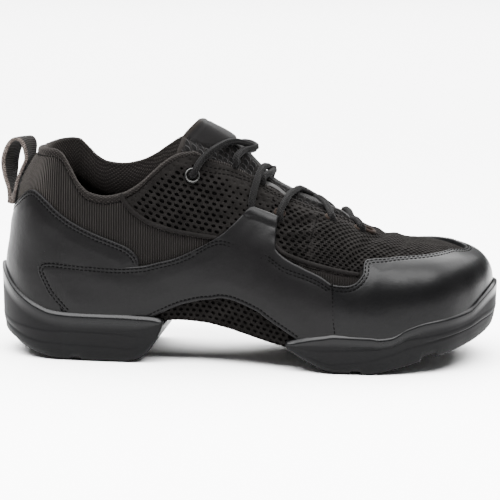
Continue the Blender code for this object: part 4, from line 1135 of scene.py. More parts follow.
def vamp_net():
    xs = np.arange(128, VAMP_END + LOOKUP_STEP, LOOKUP_STEP)
    middle = middle_line(xs)
    wide = {side: half_width(xs, side) for side in (-1, 1)}
    lengths = np.arange(0, 76, LOOKUP_STEP)
    shares = {}
    t = np.linspace(0, 1, 90)
    for side in (-1, 1):
        table = []
        for x, y0, reach in zip(xs, middle, wide[side]):
            y = y0 + side * reach * np.sin(t * pi / 2) * 0.999
            s, phi = settle_top(np.full(y.shape, x), y)
            line = raw(s, phi)
            run = run_along(line)
            table.append(np.interp(lengths, run, t))
        shares[side] = Lookup(xs[0], 0, table)
    ridge = raw(*settle_top(xs, middle))
    ridge_run = run_along(ridge)

    def plan(a, b):
        x = np.interp(a, ridge_run, xs)
        y0 = middle_line(x)
        near = np.where(b < 0, shares[-1](x, -b), shares[1](x, b))
        reach = np.where(b < 0, np.interp(x, xs, wide[-1]), np.interp(x, xs, wide[1]))
        off = reach * np.sin(near * pi / 2) * 0.999
        half = by_side(THROAT, x, b)
        return x, y0, np.where(b < 0, -1, 1), off, np.where(x < THROAT_FOOT, half, 0)

    def at(a, b, out):
        x, y0, side, off, half = plan(a, b)
        y = y0 + side * np.maximum(off, half + 0.1)
        s, phi = settle_top(x, y)
        low = phi_true(s, smooth(NET_LOW, x) - 0.3)
        return cloth_face(s, np.maximum(phi, low), out)

    rng = np.random.default_rng(VAMP_SEED)
    marks = [0.0]
    while marks[-1] < ridge_run[-1]:
        x = np.interp(marks[-1], ridge_run, xs)
        marks.append(marks[-1] + float(smooth(column(VAMP_STEP, 1), x)))
    marks = np.array(marks)
    cells = []
    for j in range(-34, 35):
        at_index = np.arange(len(marks) - 1) + 0.5 + 0.5 * (j % 2)
        a = np.interp(at_index, np.arange(len(marks)), marks)
        step_a = np.interp(at_index, np.arange(len(marks) - 1), np.diff(marks))
        x = np.interp(a, ridge_run, xs)
        step_b = smooth(column(VAMP_STEP, 2), x)
        b = j * step_b
        x, y0, side, off, half = plan(a, b)
        s, phi = settle_top(x, y0 + side * off)
        z = raw(s, phi)[..., 2]
        low = smooth(NET_LOW, x)
        keep = (off >= half - 0.3 * step_b) & (z > low - 1.5) & ((x > 143.5) | (z > 90)) & (a < ridge_run[-1])
        at_throat = np.where(x < THROAT_FOOT + 3, step_between(3.5, 8.5, off - half), 1.0)
        at_seam = 1 - 0.7 * np.exp(-((x - 164.5) / 1.5) ** 2)
        hole = HOLE_SHARE * at_throat * at_seam * rng.uniform(0.88, 1.06, len(a))
        hole = np.maximum(HOLE_SMALLEST, np.where(z < low + 1.0, 0, hole))
        cells += np.stack([a, b, step_a / 2, step_b / 2, hole], axis=1)[keep].tolist()
    return net_sheet("net_vamp", at, cells)


# Leather panels: each a grid of rungs between an upper and a lower line, seen from the side
SEAT = 0.4
LEATHER = 1.2
BAND = 1.4
BAND_RUNGS = (
    (25.7, 48.6, 25.3, 47.6), (26.8, 50.1, 25.2, 45.6), (29.2, 51.1, 26.0, 43.0),
    (33.0, 51.4, 27.6, 39.6), (37.5, 50.9, 29.8, 35.0), (42.0, 50.5, 33.0, 30.6),
    (46.0, 50.2, 36.4, 27.2), (49.0, 50.0, 40.0, 24.0), (53.0, 49.8, 47.0, 21.9),
    (60.0, 49.4, 57.0, 21.9), (68.0, 49.3, 67.0, 21.9), (75.0, 49.8, 75.0, 21.6),
    (80.0, 50.4, 80.0, 21.5), (84.0, 51.3, 84.1, 24.4), (88.0, 52.4, 89.4, 27.0),
    (94.3, 54.0, 97.5, 30.6), (100.0, 56.2, 103.7, 32.4), (106.0, 59.1, 109.0, 33.6),
    (112.0, 62.1, 114.7, 34.3), (117.4, 65.4, 118.0, 35.0), (120.5, 67.6, 120.4, 35.1),
    (123.4, 70.3, 122.2, 35.0), (126.0, 72.8, 124.2, 34.7), (128.4, 75.4, 126.3, 34.2),
    (130.4, 77.4, 128.4, 33.5), (132.6, 79.3, 130.2, 32.9), (133.2, 79.75, 130.8, 32.6),
    (133.9, 79.5, 131.4, 32.4), (137.0, 78.2, 133.4, 31.6), (141.0, 76.6, 136.0, 30.5),
    (145.6, 74.7, 138.4, 29.4), (146.5, 74.3, 139.0, 29.1), (146.5, 73.4, 139.5, 28.8),
    (146.4, 71.0, 140.6, 27.9), (146.3, 67.8, 142.2, 26.8), (146.4, 64.0, 144.0, 25.6),
    (146.6, 60.4, 145.8, 24.4), (147.4, 59.2, 147.0, 23.7), (148.7, 57.9, 148.4, 22.9),
    (151.8, 55.8, 150.8, 21.5), (155.4, 53.9, 153.6, 19.8), (159.0, 52.4, 156.2, 18.1),
    (162.0, 51.1, 159.4, 16.0), (165.8, 49.6, 163.5, 14.9), (169.6, 48.0, 168.0, 15.6),
    (173.0, 46.0, 173.0, 16.3), (176.0, 43.9, 178.4, 17.0), (176.7, 43.3, 178.9, 17.0),
)
COUNTER_RUNGS = (
    (77.3, 51.6, 76.8, 49.2), (77.0, 53.2, 75.2, 48.4), (76.3, 54.6, 73.5, 48.0),
    (74.2, 57.0, 71.0, 47.7), (71.0, 59.4, 68.0, 47.7), (63.9, 62.2, 61.0, 47.8),
    (57.0, 64.7, 54.5, 48.0), (51.5, 66.9, 48.5, 48.4), (46.0, 69.5, 43.0, 48.8),
    (41.4, 72.0, 38.0, 49.0), (37.5, 74.6, 33.5, 48.8), (34.4, 77.1, 30.6, 47.5),
    (31.0, 80.3, 29.2, 43.5), (27.1, 83.7, 30.6, 38.5), (24.8, 85.3, 33.0, 33.5),
    (22.4, 86.2, 36.0, 28.5), (19.6, 85.8, 36.5, 25.0), (16.8, 84.0, 31.0, 23.4),
    (12.6, 80.2, 22.5, 26.2), (9.4, 77.0, 15.5, 30.2),
)
COUNTER_BACK = (74.6, 40.5)
CAP_RUNGS = (
    (175.1, 45.0, 177.4, 17.0), (176.2, 44.4, 179.0, 17.0), (179.2, 43.9, 182.0, 17.0),
    (183.1, 43.8, 185.0, 17.0), (185.6, 44.4, 187.5, 17.0), (187.5, 45.4, 189.5, 17.0),
    (189.2, 47.2, 191.0, 17.0), (190.1, 48.8, 192.5, 17.0), (190.2, 50.4, 194.0, 17.0),
    (190.1, 52.1, 195.5, 17.0), (190.5, 53.5, 197.0, 17.0), (191.4, 54.4, 198.5, 16.9),
    (194.0, 54.7, 201.0, 16.8), (199.4, 54.8, 205.5, 17.6), (205.5, 55.0, 210.5, 19.8),
    (211.5, 55.1, 216.0, 22.8), (221.6, 55.6, 225.0, 25.0), (231.7, 55.9, 233.5, 26.0),
)
CAP_TIP = (54.6, 38.5)
CAP_SEAT = 1.25
STITCH_LIFT = -0.20
NEAR_EDGE = (0, 0.12, 0.3, 0.55, 0.85, 1.2, 1.55, 1.9, 2.3, 2.7, 3.1, 3.6, 4.2, 5.0, 6.0)
PANEL_MIDDLE = 34
STITCH_ROWS = (1.25, 2.85)
STITCH = 1.45
STITCH_GAP = 0.72
STITCH_THICK = 0.33
SEWN_DEPTH = 0.22
FOLD_RISE = 1.1
FOLD_WIDE = 3.0


def rung_lines(rungs, side, steps):
    """Stations and angles of the upper and lower ends of smooth rungs."""
    line = catmull(rungs, steps)
    s0, phi0 = at_side_view(line[:, 0], line[:, 1], side)
    s1, phi1 = at_side_view(line[:, 2], line[:, 3], side)
    return s0, phi0, s1, phi1


def unwrapped(s, about):
    """Stations made to run on without a jump, near a given one."""
    return about + np.mod(s - about + HALF, ROUND) - HALF


def panel_grid(s0, phi0, s1, phi1, both_ends):
    """Stations and angles of a grid between two lines, with close rows at its edges."""
    ends = face(s0, phi0) - face(s1, phi1)
    long = np.maximum(np.linalg.norm(ends, axis=-1), 0.4)
    near = np.array(NEAR_EDGE)[:, None] * np.minimum(1, 0.40 * long / NEAR_EDGE[-1])[None] / long[None]
    first = near[-1]
    final = 1 - first if both_ends else np.ones(len(long))
    middle = np.linspace(0, 1, PANEL_MIDDLE + 2)[1:-1, None]
    middle = first[None] * (1 - middle) + final[None] * middle
    shares = np.vstack([near, middle, (1 - near[::-1]) if both_ends else np.ones((1, len(long)))])
    s = s0[None] * (1 - shares) + s1[None] * shares
    phi = phi0[None] * (1 - shares) + phi1[None] * shares
    return s, phi


def rolled(edge, thickness):
    """Height of leather by the distance from its edge, rounded over."""
    over = np.sqrt(np.clip(1 - (1 - np.clip(edge / 0.9, 0, 1)) ** 2, 0, 1))
    return thickness * (0.35 + 0.65 * over)


def sewn(points, lines):
    """Depth of the troughs that the stitched lines pull into the leather."""
    depth = np.zeros(points.shape[:-1])
    for line in lines:
        away = distance_to(points, line, 3.0)
        trough = 0.75 * np.exp(-(away / 0.45) ** 2) + 0.25 * np.exp(-(away / 1.3) ** 2)
        depth = np.maximum(depth, SEWN_DEPTH * trough)
    return depth


def offset_line(border, inside, away):
    """The border moved over the face by a distance, on the side where a point inside lies."""
    border = spaced_line(border, 0.6)
    s, phi = settle(border)
    up = normal(s, phi)
    along = unit(np.gradient(border, axis=0))
    inward = unit(np.cross(up, along))
    middle = len(border) // 2
    inside = np.atleast_2d(inside)
    nearest = inside[np.argmin(np.linalg.norm(inside - border[middle], axis=1))]
    if (inward[middle] @ (nearest - border[middle])) < 0:
        inward = -inward
    moved = border + inward * away
    keep = distance_to(moved, border) > 0.93 * away
    runs, run = [], []
    for p, good in zip(moved, keep):
        if good:
            run.append(p)
        elif run:
            runs.append(np.array(run))
            run = []
    if run:
        runs.append(np.array(run))
    return [r for r in runs if len(r) > 5]


def stitches(pile, line, lift, long=STITCH, thick=STITCH_THICK, share=0.5):
    """Short threads laid along a line on the outer face."""
    line = spaced_line(line, 0.35)
    s, phi = settle(line)
    up = normal(s, phi)
    path = raw(s, phi) + up * (lift + share * soft(s, phi))[:, None]
    run = run_along(path)
    low = thick * np.array([1.4, 0.2, 0, 0.2, 1.4])
    size = thick * np.array([0.55, 0.95, 1.0, 0.95, 0.55])
    for start in np.arange(0.2, run[-1] - long, long + STITCH_GAP):
        at = start + long * np.array([0, 0.12, 0.5, 0.88, 1.0])
        core = np.stack([np.interp(at, run, path[:, k]) for k in range(3)], axis=1)
        dip = np.stack([np.interp(at, run, up[:, k]) for k in range(3)], axis=1)
        points, faces = tube(core - dip * low[:, None], size, 6)
        pile.add(points, faces)


def leather_panel(name, s, phi, thickness, base, edges, seams, surface, stands_for, puff=0.0, fold=None):
    """A leather piece from its grid, its visible borders, its stitched lines and a folded border."""
    points = face(s, phi)
    edge = np.full(s.shape, FAR)
    for line in edges:
        edge = np.minimum(edge, distance_to(points, line))
    height = base + rolled(edge, thickness) + puff * step_between(3, 9, edge) - sewn(points, seams)
    if fold is not None:
        away = distance_to(points, fold) / FOLD_WIDE
        height = height + FOLD_RISE * np.sqrt(np.clip(1 - (away - 1) ** 2, 0, 1))
    lift = soft(s, phi) * 0.5 + 0.10 * waves(points, 26.0, LEATHER_SEED) * step_between(2, 8, edge)
    top = face(s, phi, height + lift)
    rows, columns = s.shape
    ring = np.array(border_of(rows, columns))
    low = face(s, phi, -0.3 + lift).reshape(-1, 3)[ring]
    start = rows * columns
    faces = grid_faces(rows, columns).tolist()
    n = len(ring)
    faces += [[int(ring[k]), start + k, start + (k + 1) % n, int(ring[(k + 1) % n])] for k in range(n)]
    marks = np.concatenate([edge.ravel(), np.zeros(n)])
    return make(name, np.vstack([top.reshape(-1, 3), low]), faces, surface, "leather", dict(edge=marks),
                stands_for=stands_for)


def outer_line(s, phi, row, span=None):
    line = face(s[row], phi[row])
    return line if span is None else line[span[0]:span[1]]


def side_band(side, pile):
    steps = 7
    s0, phi0, s1, phi1 = rung_lines(BAND_RUNGS, side, steps)
    s, phi = panel_grid(s0, phi0, s1, phi1, True)
    seam = (len(BAND_RUNGS) - 2) * steps
    window_start, window_end = 12 * steps, 42 * steps
    top = outer_line(s, phi, 0, (0, seam + 1))
    rear = outer_line(s, phi, -1, (0, 7 * steps))
    arch = outer_line(s, phi, -1, (window_start, window_end))
    name = side_name(side)
    centre = face(s[len(s) // 2], phi[len(s) // 2])[14 * steps]
    border = np.vstack([rear[::-1], outer_line(s, phi, 0, (1, 17 * steps))])
    seams = [line for away in STITCH_ROWS for line in offset_line(border, centre, away)]
    seams += tab_seam(side)
    arch_inside = face(s[-12], phi[-12])[window_start:window_end]
    arch_rows = offset_line(arch, arch_inside, 1.9)
    fold = outer_line(s, phi, 0, (26 * steps, 31 * steps))
    leather_panel("band_" + name, s, phi, BAND, SEAT + 0.5, (top, rear, arch), seams + arch_rows, HIDE,
                  ("side_band_" + name,), 0.25, fold)
    lift = SEAT + 0.5 + BAND + STITCH_LIFT
    for line in seams + arch_rows:
        stitches(pile, line, lift)


TAB_SEAM = (
    (106.5, 58.3), (110.6, 60.6), (114.5, 62.6), (118.9, 63.6), (123.2, 62.7), (131.0, 60.2),
    (138.8, 57.5), (143.8, 56.0), (148.3, 52.9), (152.1, 50.9), (157.5, 49.2), (162.5, 47.8),
    (168.5, 45.6), (173.6, 42.9),
)


def tab_seam(side):
    """Double row that runs on across the foot of the tab and down to the toe cap."""
    made = []
    for drop in (0.0, 1.6):
        x, z = catmull(TAB_SEAM, 6).T
        s, phi = at_side_view(x, z - drop, side)
        made.append(face(s, phi))
    return made


def heel_counter(pile):
    steps = 6
    pieces = [rung_lines(COUNTER_RUNGS, side, steps) for side in (-1, 1)]
    back_s = np.full(1, HALF)
    back_top, back_low = phi_true(back_s, COUNTER_BACK[0]), phi_true(back_s, COUNTER_BACK[1])

    def joined(k, back):
        """Outer side, the back of the heel, and the inner side, without a jump."""
        a, b = pieces[0][k], pieces[1][k][::-1]
        gap = np.linspace(0, 1, 14)[1:-1]
        first = a[-1] * (1 - gap) + back * gap
        then = back * (1 - gap) + b[0] * gap
        return np.concatenate([a, first, [back], then, b])

    s0 = joined(0, HALF)
    phi0 = joined(1, float(back_top[0]))
    s1 = joined(2, HALF)
    phi1 = joined(3, float(back_low[0]))
    s, phi = panel_grid(s0, phi0, s1, phi1, False)
    top = outer_line(s, phi, 0)
    inside = face(s[30], phi[30])[len(s0) // 2]
    seams = [line for away in STITCH_ROWS for line in offset_line(top, inside, away)]
    leather_panel("counter", s, phi, LEATHER, SEAT, (top,), seams, HIDE, ("heel_counter",), 0.5)
    for line in seams:
        stitches(pile, line, SEAT + LEATHER + STITCH_LIFT)


def toe_cap(pile):
    steps = 6
    outer = rung_lines(CAP_RUNGS, -1, steps)
    inner = rung_lines(CAP_RUNGS, 1, steps)
    inner = [unwrapped(inner[0], 0), inner[1], unwrapped(inner[2], 0), inner[3]]
    across = np.linspace(0, 1, 60)[1:-1]

    def arc(k, height):
        s = outer[k][-1] * (1 - across) + inner[k][-1] * across
        turns_there = np.array([outer[k + 1][-1], inner[k + 1][-1]])
        ends = face(np.array([outer[k][-1], inner[k][-1]]), turns_there)[:, 2]
        share = np.sin(across * pi)
        z = (ends[0] * (1 - across) + ends[1] * across) * (1 - share) + height * share
        return s, phi_true(s, z)

    s_top, phi_top = arc(0, CAP_TIP[0])
    s_low, phi_low = arc(2, CAP_TIP[1])
    s0 = np.concatenate([outer[0], s_top, inner[0][::-1]])
    phi0 = np.concatenate([outer[1], phi_top, inner[1][::-1]])
    s1 = np.concatenate([outer[2], s_low, inner[2][::-1]])
    phi1 = np.concatenate([outer[3], phi_low, inner[3][::-1]])
    s, phi = panel_grid(s0, phi0, s1, phi1, False)
    top = outer_line(s, phi, 0)
    seams = (face(s[:, 0], phi[:, 0]), face(s[:, -1], phi[:, -1]))
    inside = face(s[30], phi[30])[len(s0) // 2]
    lines = [line for away in STITCH_ROWS for line in offset_line(top, inside, away)]
    for seam, column_at in ((seams[0], 14), (seams[1], -14)):
        lines += offset_line(seam[:46], face(s[:46, column_at], phi[:46, column_at]), 0.75)
    leather_panel("cap_panel", s, phi, BAND, CAP_SEAT, (top,) + seams, lines, CAP_HIDE, ("toe_cap",), 0.5)
    for line in lines:
        stitches(pile, line, CAP_SEAT + BAND + STITCH_LIFT)


# Rubber cups
GROOVES = ((44, 2.8, 1.7), (187.5, 2.6, 1.9), (223.5, 3.6, 2.4))
# Rows of a cup's side: what the height follows, share of the height, shift, and stand-off
CUP_ROWS = (
    ("bottom", 0.0, 0.0, -4.0), ("bottom", 0.02, 0.0, -3.1), ("bottom", 0.06, 0.0, -2.2),
    ("low", -0.10, -0.6, -1.35), ("low", 0.0, -1.3, -0.80), ("low", 0.0, -0.7, -0.60),
    ("low", 0.0, -0.2, -0.66), ("low", 0.0, 0.25, -0.95), ("low", 0.0, 0.7, -1.12),
    ("low", 0.0, 1.3, -1.08), ("high", -0.10, 0.0, -0.45), ("high", 0.0, -1.3, -0.05),
    ("high", 0.0, -0.7, 0.10), ("high", 0.0, -0.2, 0.02), ("high", 0.0, 0.25, -0.28),
    ("high", 0.0, 0.7, -0.46), ("high", 0.0, 1.3, -0.45), ("lip", -0.30, -0.6, -0.22),
    ("lip", -0.10, -2.4, -0.06), ("lip", 0.0, -2.5, 0.0), ("lip", 0.0, -2.15, -0.06),
    ("lip", 0.0, -1.75, -0.30), ("lip", 0.0, -1.3, -0.66), ("lip", 0.0, -0.85, -1.06),
    ("lip", 0.0, -0.42, -1.48), ("lip", 0.0, 0.0, -2.0),
)
CUP_ENDS = np.linspace(0.02, 0.98, 14)
CUP_STATIONS = 260
CUP_BOW = 3.2
CUP_MOUTH = {"heel": 89.2, "fore": 152.8}
# Rows down inside a cup: drop below the lip, stand-off, and shift of the open end
CUP_INSIDE = ((0.25, 2.42, 1.5), (0.9, 2.36, 1.6), (5.2, 2.36, 2.0), (6.4, 0.5, 2.2))
END_RUN = 14.0
END_FADE = 18.0
LIP_ROW = 18
DULL_END = 0.8
RIB_RELIEF = 0.40


def groove_lift(x, base):
    """Height of the tread with its cross grooves."""
    z = base
    for middle, half, depth in GROOVES:
        inside = 1 - step_between(half - 0.25, half + 0.25, np.abs(x - middle))
        z = z + depth * inside
    return z


def cup(unit_name):
    heel = unit_name == "heel"
    table = HEEL_SOLE if heel else FORE_SOLE
    curve = {name: column(table, k + 1) for k, name in enumerate(("bottom", "lip", "low", "high"))}
    front = HEEL_FRONT if heel else FORE_REAR
    toward = 1 if heel else -1
    open_at = TOE_ARC + TOE_PIVOT - CUP_MOUTH[unit_name]
    s = np.linspace(*((open_at, ROUND - open_at) if heel else (-open_at, open_at)), CUP_STATIONS)
    spine_x, spine_y, way_x, way_y, radius, x, side = station(s)
    bumper = 0 if heel else np.where(spine_x < TOE_PIVOT - 0.01, 0, BUMPER * way_x ** 2)
    low_end, high_end = float(smooth(curve["bottom"], front)), float(last("feather", front)) - 0.5

    def closed(points, rise):
        """A row round the shoe with its straight end across the arch, bowed a little."""
        outer_share = CUP_ENDS if heel else 1 - CUP_ENDS
        x = (points[-1][0] + points[0][0]) / 2 + CUP_BOW * toward * CUP_ENDS * (1 - CUP_ENDS)
        y = last("inner", front) * (1 - outer_share) - last("outer", front) * outer_share
        z = np.full(len(CUP_ENDS), low_end + (high_end - low_end) * rise)
        return np.vstack([points, np.stack([x, y, z], axis=-1)])

    rows, lips, dull = [], [], []
    near = RIB_RELIEF * step_between(0, END_FADE, np.abs(front - spine_x))
    for k, (name, share, shift, out) in enumerate(CUP_ROWS):
        if name in ("low", "high"):
            plain = np.interp(k, (3, 17), (-1.35, -0.22))
            out = plain + (out - plain) * near
        reach = radius + STAND + bumper + out
        px, py = spine_x + way_x * reach, spine_y + way_y * reach
        bottom, lip = smooth(curve["bottom"], px), smooth(curve["lip"], px)
        tall = lip - bottom
        if name == "bottom":
            z = bottom + share * tall
        elif name == "lip":
            z = lip + share * tall + shift * np.minimum(1, tall / 8)
        else:
            z = bottom + (smooth(curve[name], px) + share) * tall + shift * np.minimum(1, tall / 18)
        z = np.maximum(z, groove_lift(px, bottom))
        rows.append(closed(np.stack([px, py, z], axis=-1), k / len(CUP_ROWS)))
        lips.append(1.0 if k >= LIP_ROW else 0.0)
        dull.append(0 * way_x if k >= LIP_ROW else -DULL_END * way_x ** 2)

    def pulled(inset):
        left = np.abs(front - spine_x)
        moved = front - toward * (inset + left * (1 - inset / END_RUN))
        outer_side = np.where(side < 0, TOE_ARC + TOE_PIVOT - moved, ROUND - (TOE_ARC + TOE_PIVOT - moved))
        return np.where(left >= END_RUN, s, outer_side)

    for drop, out, inset in CUP_INSIDE:
        at = pulled(inset)
        feather = levels(at)[0]
        z = np.maximum(feather + 0.6, smooth(curve["lip"], station(at).x) - drop)
        rows.append(closed(face(at, phi_at(at, z), np.full(at.shape, out)), 1 - 0.5 / len(CUP_ROWS)))
        lips.append(1.0 if drop < 1 else 0.0)
    ring = len(rows[0])
    points = np.vstack(rows)
    marks = np.repeat(lips, ring).reshape(len(rows), ring)
    marks[:len(dull), :CUP_STATIONS] += np.array(dull)
    marks[:, CUP_STATIONS:] = -1
    marks = marks.ravel()
    faces = grid_faces(len(rows), ring, wrap=True, flip=True).tolist()
    half = CUP_STATIONS // 2
    across = len(CUP_ENDS) + 1

    def ladder(start, tread):
        """Close a ring across the shoe with a grid."""
        nonlocal points, marks
        loop = points[start:start + ring]
        u = np.linspace(0, 1, across + 1)[1:-1][None, :, None]
        a, b = loop[1:half][:, None], loop[CUP_STATIONS - 1 - np.arange(1, half)][:, None]
        fill = a * (1 - u) + b * u
        if tread:
            base = smooth(curve["bottom"], fill[..., 0])
            fill[..., 2] = np.maximum(base, groove_lift(fill[..., 0], base))
        first = len(points)
        points = np.vstack([points, fill.reshape(-1, 3)])
        marks = np.concatenate([marks, np.zeros(fill.shape[0] * fill.shape[1])])
        line = [start] + [start + ring - 1 - j for j in range(len(CUP_ENDS))] + [start + CUP_STATIONS - 1]
        for i in range(1, half):
            then = ([start + i] + [first + (i - 1) * (across - 1) + j for j in range(across - 1)]
                    + [start + CUP_STATIONS - 1 - i])
            for j in range(across):
                quad = [line[j], line[j + 1], then[j + 1], then[j]]
                faces.append(quad if tread else quad[::-1])
            line = then

    ladder(0, True)
    ladder((len(rows) - 1) * ring, False)
    node_name = "heel_sole" if heel else "forefoot_sole"
    return make(node_name.replace("sole", "cup"), points, faces, RUBBER, "rubber", dict(lip=marks),
                stands_for=(node_name,))


INSOLE_SPAN = (9, 240)
INSOLE_GRID = (40, 150)
INSOLE_LIFT = 2.5
INSOLE_THICK = 2.5
INSOLE_HEEL = 30.0


def insole():
    rows, columns = INSOLE_GRID
    xs = np.linspace(*INSOLE_SPAN, columns)
    edges = []
    for side in (-1, 1):
        heel_reach = np.sqrt(np.maximum(0, INSOLE_HEEL ** 2 - np.maximum(HEEL_PIVOT - xs, 0) ** 2))
        wide = np.where(xs < HEEL_PIVOT, heel_reach, half_width(np.maximum(xs, 40), side))
        edges.append(middle_line(xs) + side * np.maximum(0.5, wide * smooth(FEATHER_SHARE, xs) - 3.2))
    u = np.linspace(0, 1, rows)[:, None]
    y = edges[0][None] * (1 - u) + edges[1][None] * u
    x = np.broadcast_to(xs, y.shape)
    z = last("feather", x) + INSOLE_LIFT
    dish = 0.8 * (2 * u - 1) ** 4
    top = np.stack([x, y, z + INSOLE_THICK + dish], axis=-1)
    low = np.stack([x, y, z], axis=-1)
    count = rows * columns
    faces = grid_faces(rows, columns).tolist() + grid_faces(rows, columns, start=count, flip=True).tolist()
    border = border_of(rows, columns)
    faces += [[a, count + a, count + b, b] for a, b in zip(border, border[1:] + border[:1])]
    points = np.vstack([top.reshape(-1, 3), low.reshape(-1, 3)])
    return make("insole_sheet", points, faces, BED, "insole_cloth", stands_for=("insole",))


# Tongue
TONGUE_SHAPE = (
    (96, 24.5, 4.6), (112, 24.0, 2.4), (120, 23.0, 1.9), (128, 21.6, 1.1), (142, 18.5, 0.5),
    (158, 16.0, 1.1), (174, 13.0, 1.1), (183, 10.8, -0.6), (188, 10.0, -2.7), (197, 9.0, -2.7),
)
TONGUE_TIP = 104.5
TONGUE_CORNER = 8.5
TONGUE_FOOT = 196.0
TONGUE_THICK = 3.4
PATCH_MIDDLE = 100.5
PATCH_LONG = 20.5
PATCH_WIDE = 16.0
TIP_FALL = 3.8
TIP_RUN = 10.0


def across_phi(x, side, reach):
    s = np.where(side < 0, side_station(x, -1), side_station(x, 1))
    return s, np.arccos(np.clip(reach / station(s).radius, 0, 1) ** (levels(s)[3] / 2))


def tongue_out(x, side, reach):
    half = by_side(THROAT, x, side)
    half = np.where(x < THROAT_FOOT, np.maximum(0.1, half), 0.1)
    sunk = step_between(0.30, 0.80, reach / half)
    crown = smooth(column(TONGUE_SHAPE, 2), x)
    return crown * (1 - sunk) - (WALL + 0.84) * sunk


def tongue():
    u = np.linspace(-1, 1, 90)[None, :]
    v = np.linspace(0, 1, 190)[:, None]
    end = TONGUE_TIP - TONGUE_CORNER * u ** 2
    x = end + (TONGUE_FOOT - end) * v
    side = np.where(u < 0, -1, 1) * np.ones_like(x)
    half = smooth(column(TONGUE_SHAPE, 1), x) * np.where(side > 0, 0.90, 1.0)
    reach = half * np.abs(u)
    s, phi = across_phi(x, side, reach)
    out = tongue_out(x, side, reach)
    out = out - TIP_FALL * (1 - np.clip((x - end) / TIP_RUN, 0, 1)) ** 2 * (1 - 0.5 * np.abs(u))
    flat = face(s, phi, out)
    oval = np.sqrt((reach / PATCH_WIDE) ** 2 + ((x - PATCH_MIDDLE) / PATCH_LONG) ** 2)
    patch = 1 - step_between(0.985, 1.015, oval)
    brim = np.maximum(1 - step_between(1.6, 2.2, half - reach), 1 - step_between(0.9, 1.4, x - end))
    seam = np.exp(-((oval - 1.03) / 0.035) ** 2)
    lift = 0.45 * patch - 0.6 * seam + 0.25 * waves(flat, 15.0, TONGUE_SEED)
    lift -= 0.5 * np.exp(-((np.minimum(half - reach, x - end) - 2.3) / 0.6) ** 2)
    rim = np.sqrt(np.clip(1 - (1 - np.clip(np.minimum(half - reach, x - end) / 2.6, 0, 1)) ** 2, 0, 1))
    middle = out - TONGUE_THICK / 2
    top = face(s, phi, middle + TONGUE_THICK / 2 * rim + lift * rim)
    low = face(s, phi, middle - TONGUE_THICK / 2 * rim)
    rows, columns = x.shape
    count = rows * columns
    faces = grid_faces(rows, columns).tolist() + grid_faces(rows, columns, start=count, flip=True).tolist()
    along = np.broadcast_to(1.15 * (x - TONGUE_TIP), x.shape)
    across = side * reach
    marks = {"along": along, "across": across, "patch": patch, "brim": brim}
    marks = {key: np.concatenate([value.ravel(), value.ravel()]) for key, value in marks.items()}
    piece = make("tongue_pad", np.vstack([top.reshape(-1, 3), low.reshape(-1, 3)]), faces, TONGUE_CLOTH,
                 "tongue_mesh", marks, stands_for=("tongue",))
    return piece


# Lace: strands from the outer side to the inner side: x, distance from the middle, lift
LACE = 3.5
LACE_STRANDS = {
    "lace_foot": (
        ((186.2, -11.5, 0.1), (184.0, -6, -0.2), (181.9, 0, -1.4), (178.8, 8, -0.4), (176.0, 14.5, 0.2)),
    ),
    "lace_low": (
        ((147.2, -25.5, 0.2), (148.9, -19.5, 0.3), (150.4, -12.5, 0.3), (152.4, -5.5, 0.2), (154.9, 0, -0.2),
         (160.5, 8, 0.0), (168.5, 16.5, 0.2)),
        ((171.9, -16.5, 0.1), (169.6, -9.5, 0.1), (166.5, 0, -0.9), (160.5, 8, -0.6), (150, 18.5, 0.6)),
    ),
    "lace_middle": (
        ((132.9, -26.5, 0.2), (133.6, -20, 0.4), (134.5, -11, 0.5), (135.8, -3, 0.3), (138.4, 5.5, 0.3),
         (137.4, 13.0, 0.1)),
        ((136.2, -13.0, 0.3), (138.4, -6.5, 0.8), (140.8, 0, 1.2), (138.4, 5.5, 0.9), (134.3, 19, 0.3)),
    ),
    "lace_top": (
        ((106.8, -22.5, 0.4), (112.5, -17, 0.8), (119.5, -9.5, 0.8), (125.4, -3.5, 1.0), (128.4, 1.5, 0.9),
         (126.0, 8.5, 0.4), (123.6, 13.5, 0.2)),
        ((123.3, -15.2, 0.2), (125.4, -8.5, 0.4), (128.4, 1.5, 2.4), (121, 9.5, 1.4), (108.5, 20, 0.4)),
    ),
}
EYELET_X = 103.3
EYELET_HEIGHT = {-1: 95.1, 1: 98.0}
EYELET_OUTER = 8.0
EYELET_INNER = 4.6


def lace_point(x, across, lift):
    x, across = np.array(float(x)), float(across)
    side = -1 if across < 0 else 1
    s, phi = across_phi(x, side, abs(across))
    out = max(0.0, float(tongue_out(x, side, abs(across))))
    return face(s, phi, out + LACE / 2 + 0.15 + lift)


def eyelet_seat(side):
    s = side_station(EYELET_X, side)
    phi = phi_at(s, EYELET_HEIGHT[side])
    seat = face(s, phi)
    return seat, unit(face(s, phi, 1.0) - seat)


CORD_GROOVES = (52, 128, 232, 308)


def cord_mesh(path, radius, sides=24):
    """Points, faces and marks of a braided cord whose two ribs lie beside a groove."""
    path = spaced_line(np.asarray(path), 0.45)
    ahead = unit(np.gradient(path, axis=0))
    s, phi = settle_top(path[:, 0], path[:, 1])
    across = unit(np.cross(ahead, normal(s, phi)))
    up = np.cross(across, ahead)
    run = run_along(path)
    turn = 2 * pi * np.arange(sides) / sides
    groove = sum(np.exp(-((turn - radians(at)) / 0.30) ** 2) for at in CORD_GROOVES)
    size = radius * (1.0 - 0.20 * groove)[None, :]
    size = size * (1 + 0.035 * np.sin(run[:, None] * 2 * pi / BRAID_PITCH + BRAID_TURNS * turn[None, :]))
    points = (path[:, None] + across[:, None] * (size * np.cos(turn))[..., None]
              + up[:, None] * (size * np.sin(turn))[..., None])
    shape = points.shape[:2]
    marks = {"turn": np.broadcast_to(turn, shape), "run": np.broadcast_to(run[:, None], shape),
             "groove": np.broadcast_to(groove, shape)}
    marks = {key: value.ravel() for key, value in marks.items()}
    return points.reshape(-1, 3), tube_faces(len(path), sides), marks


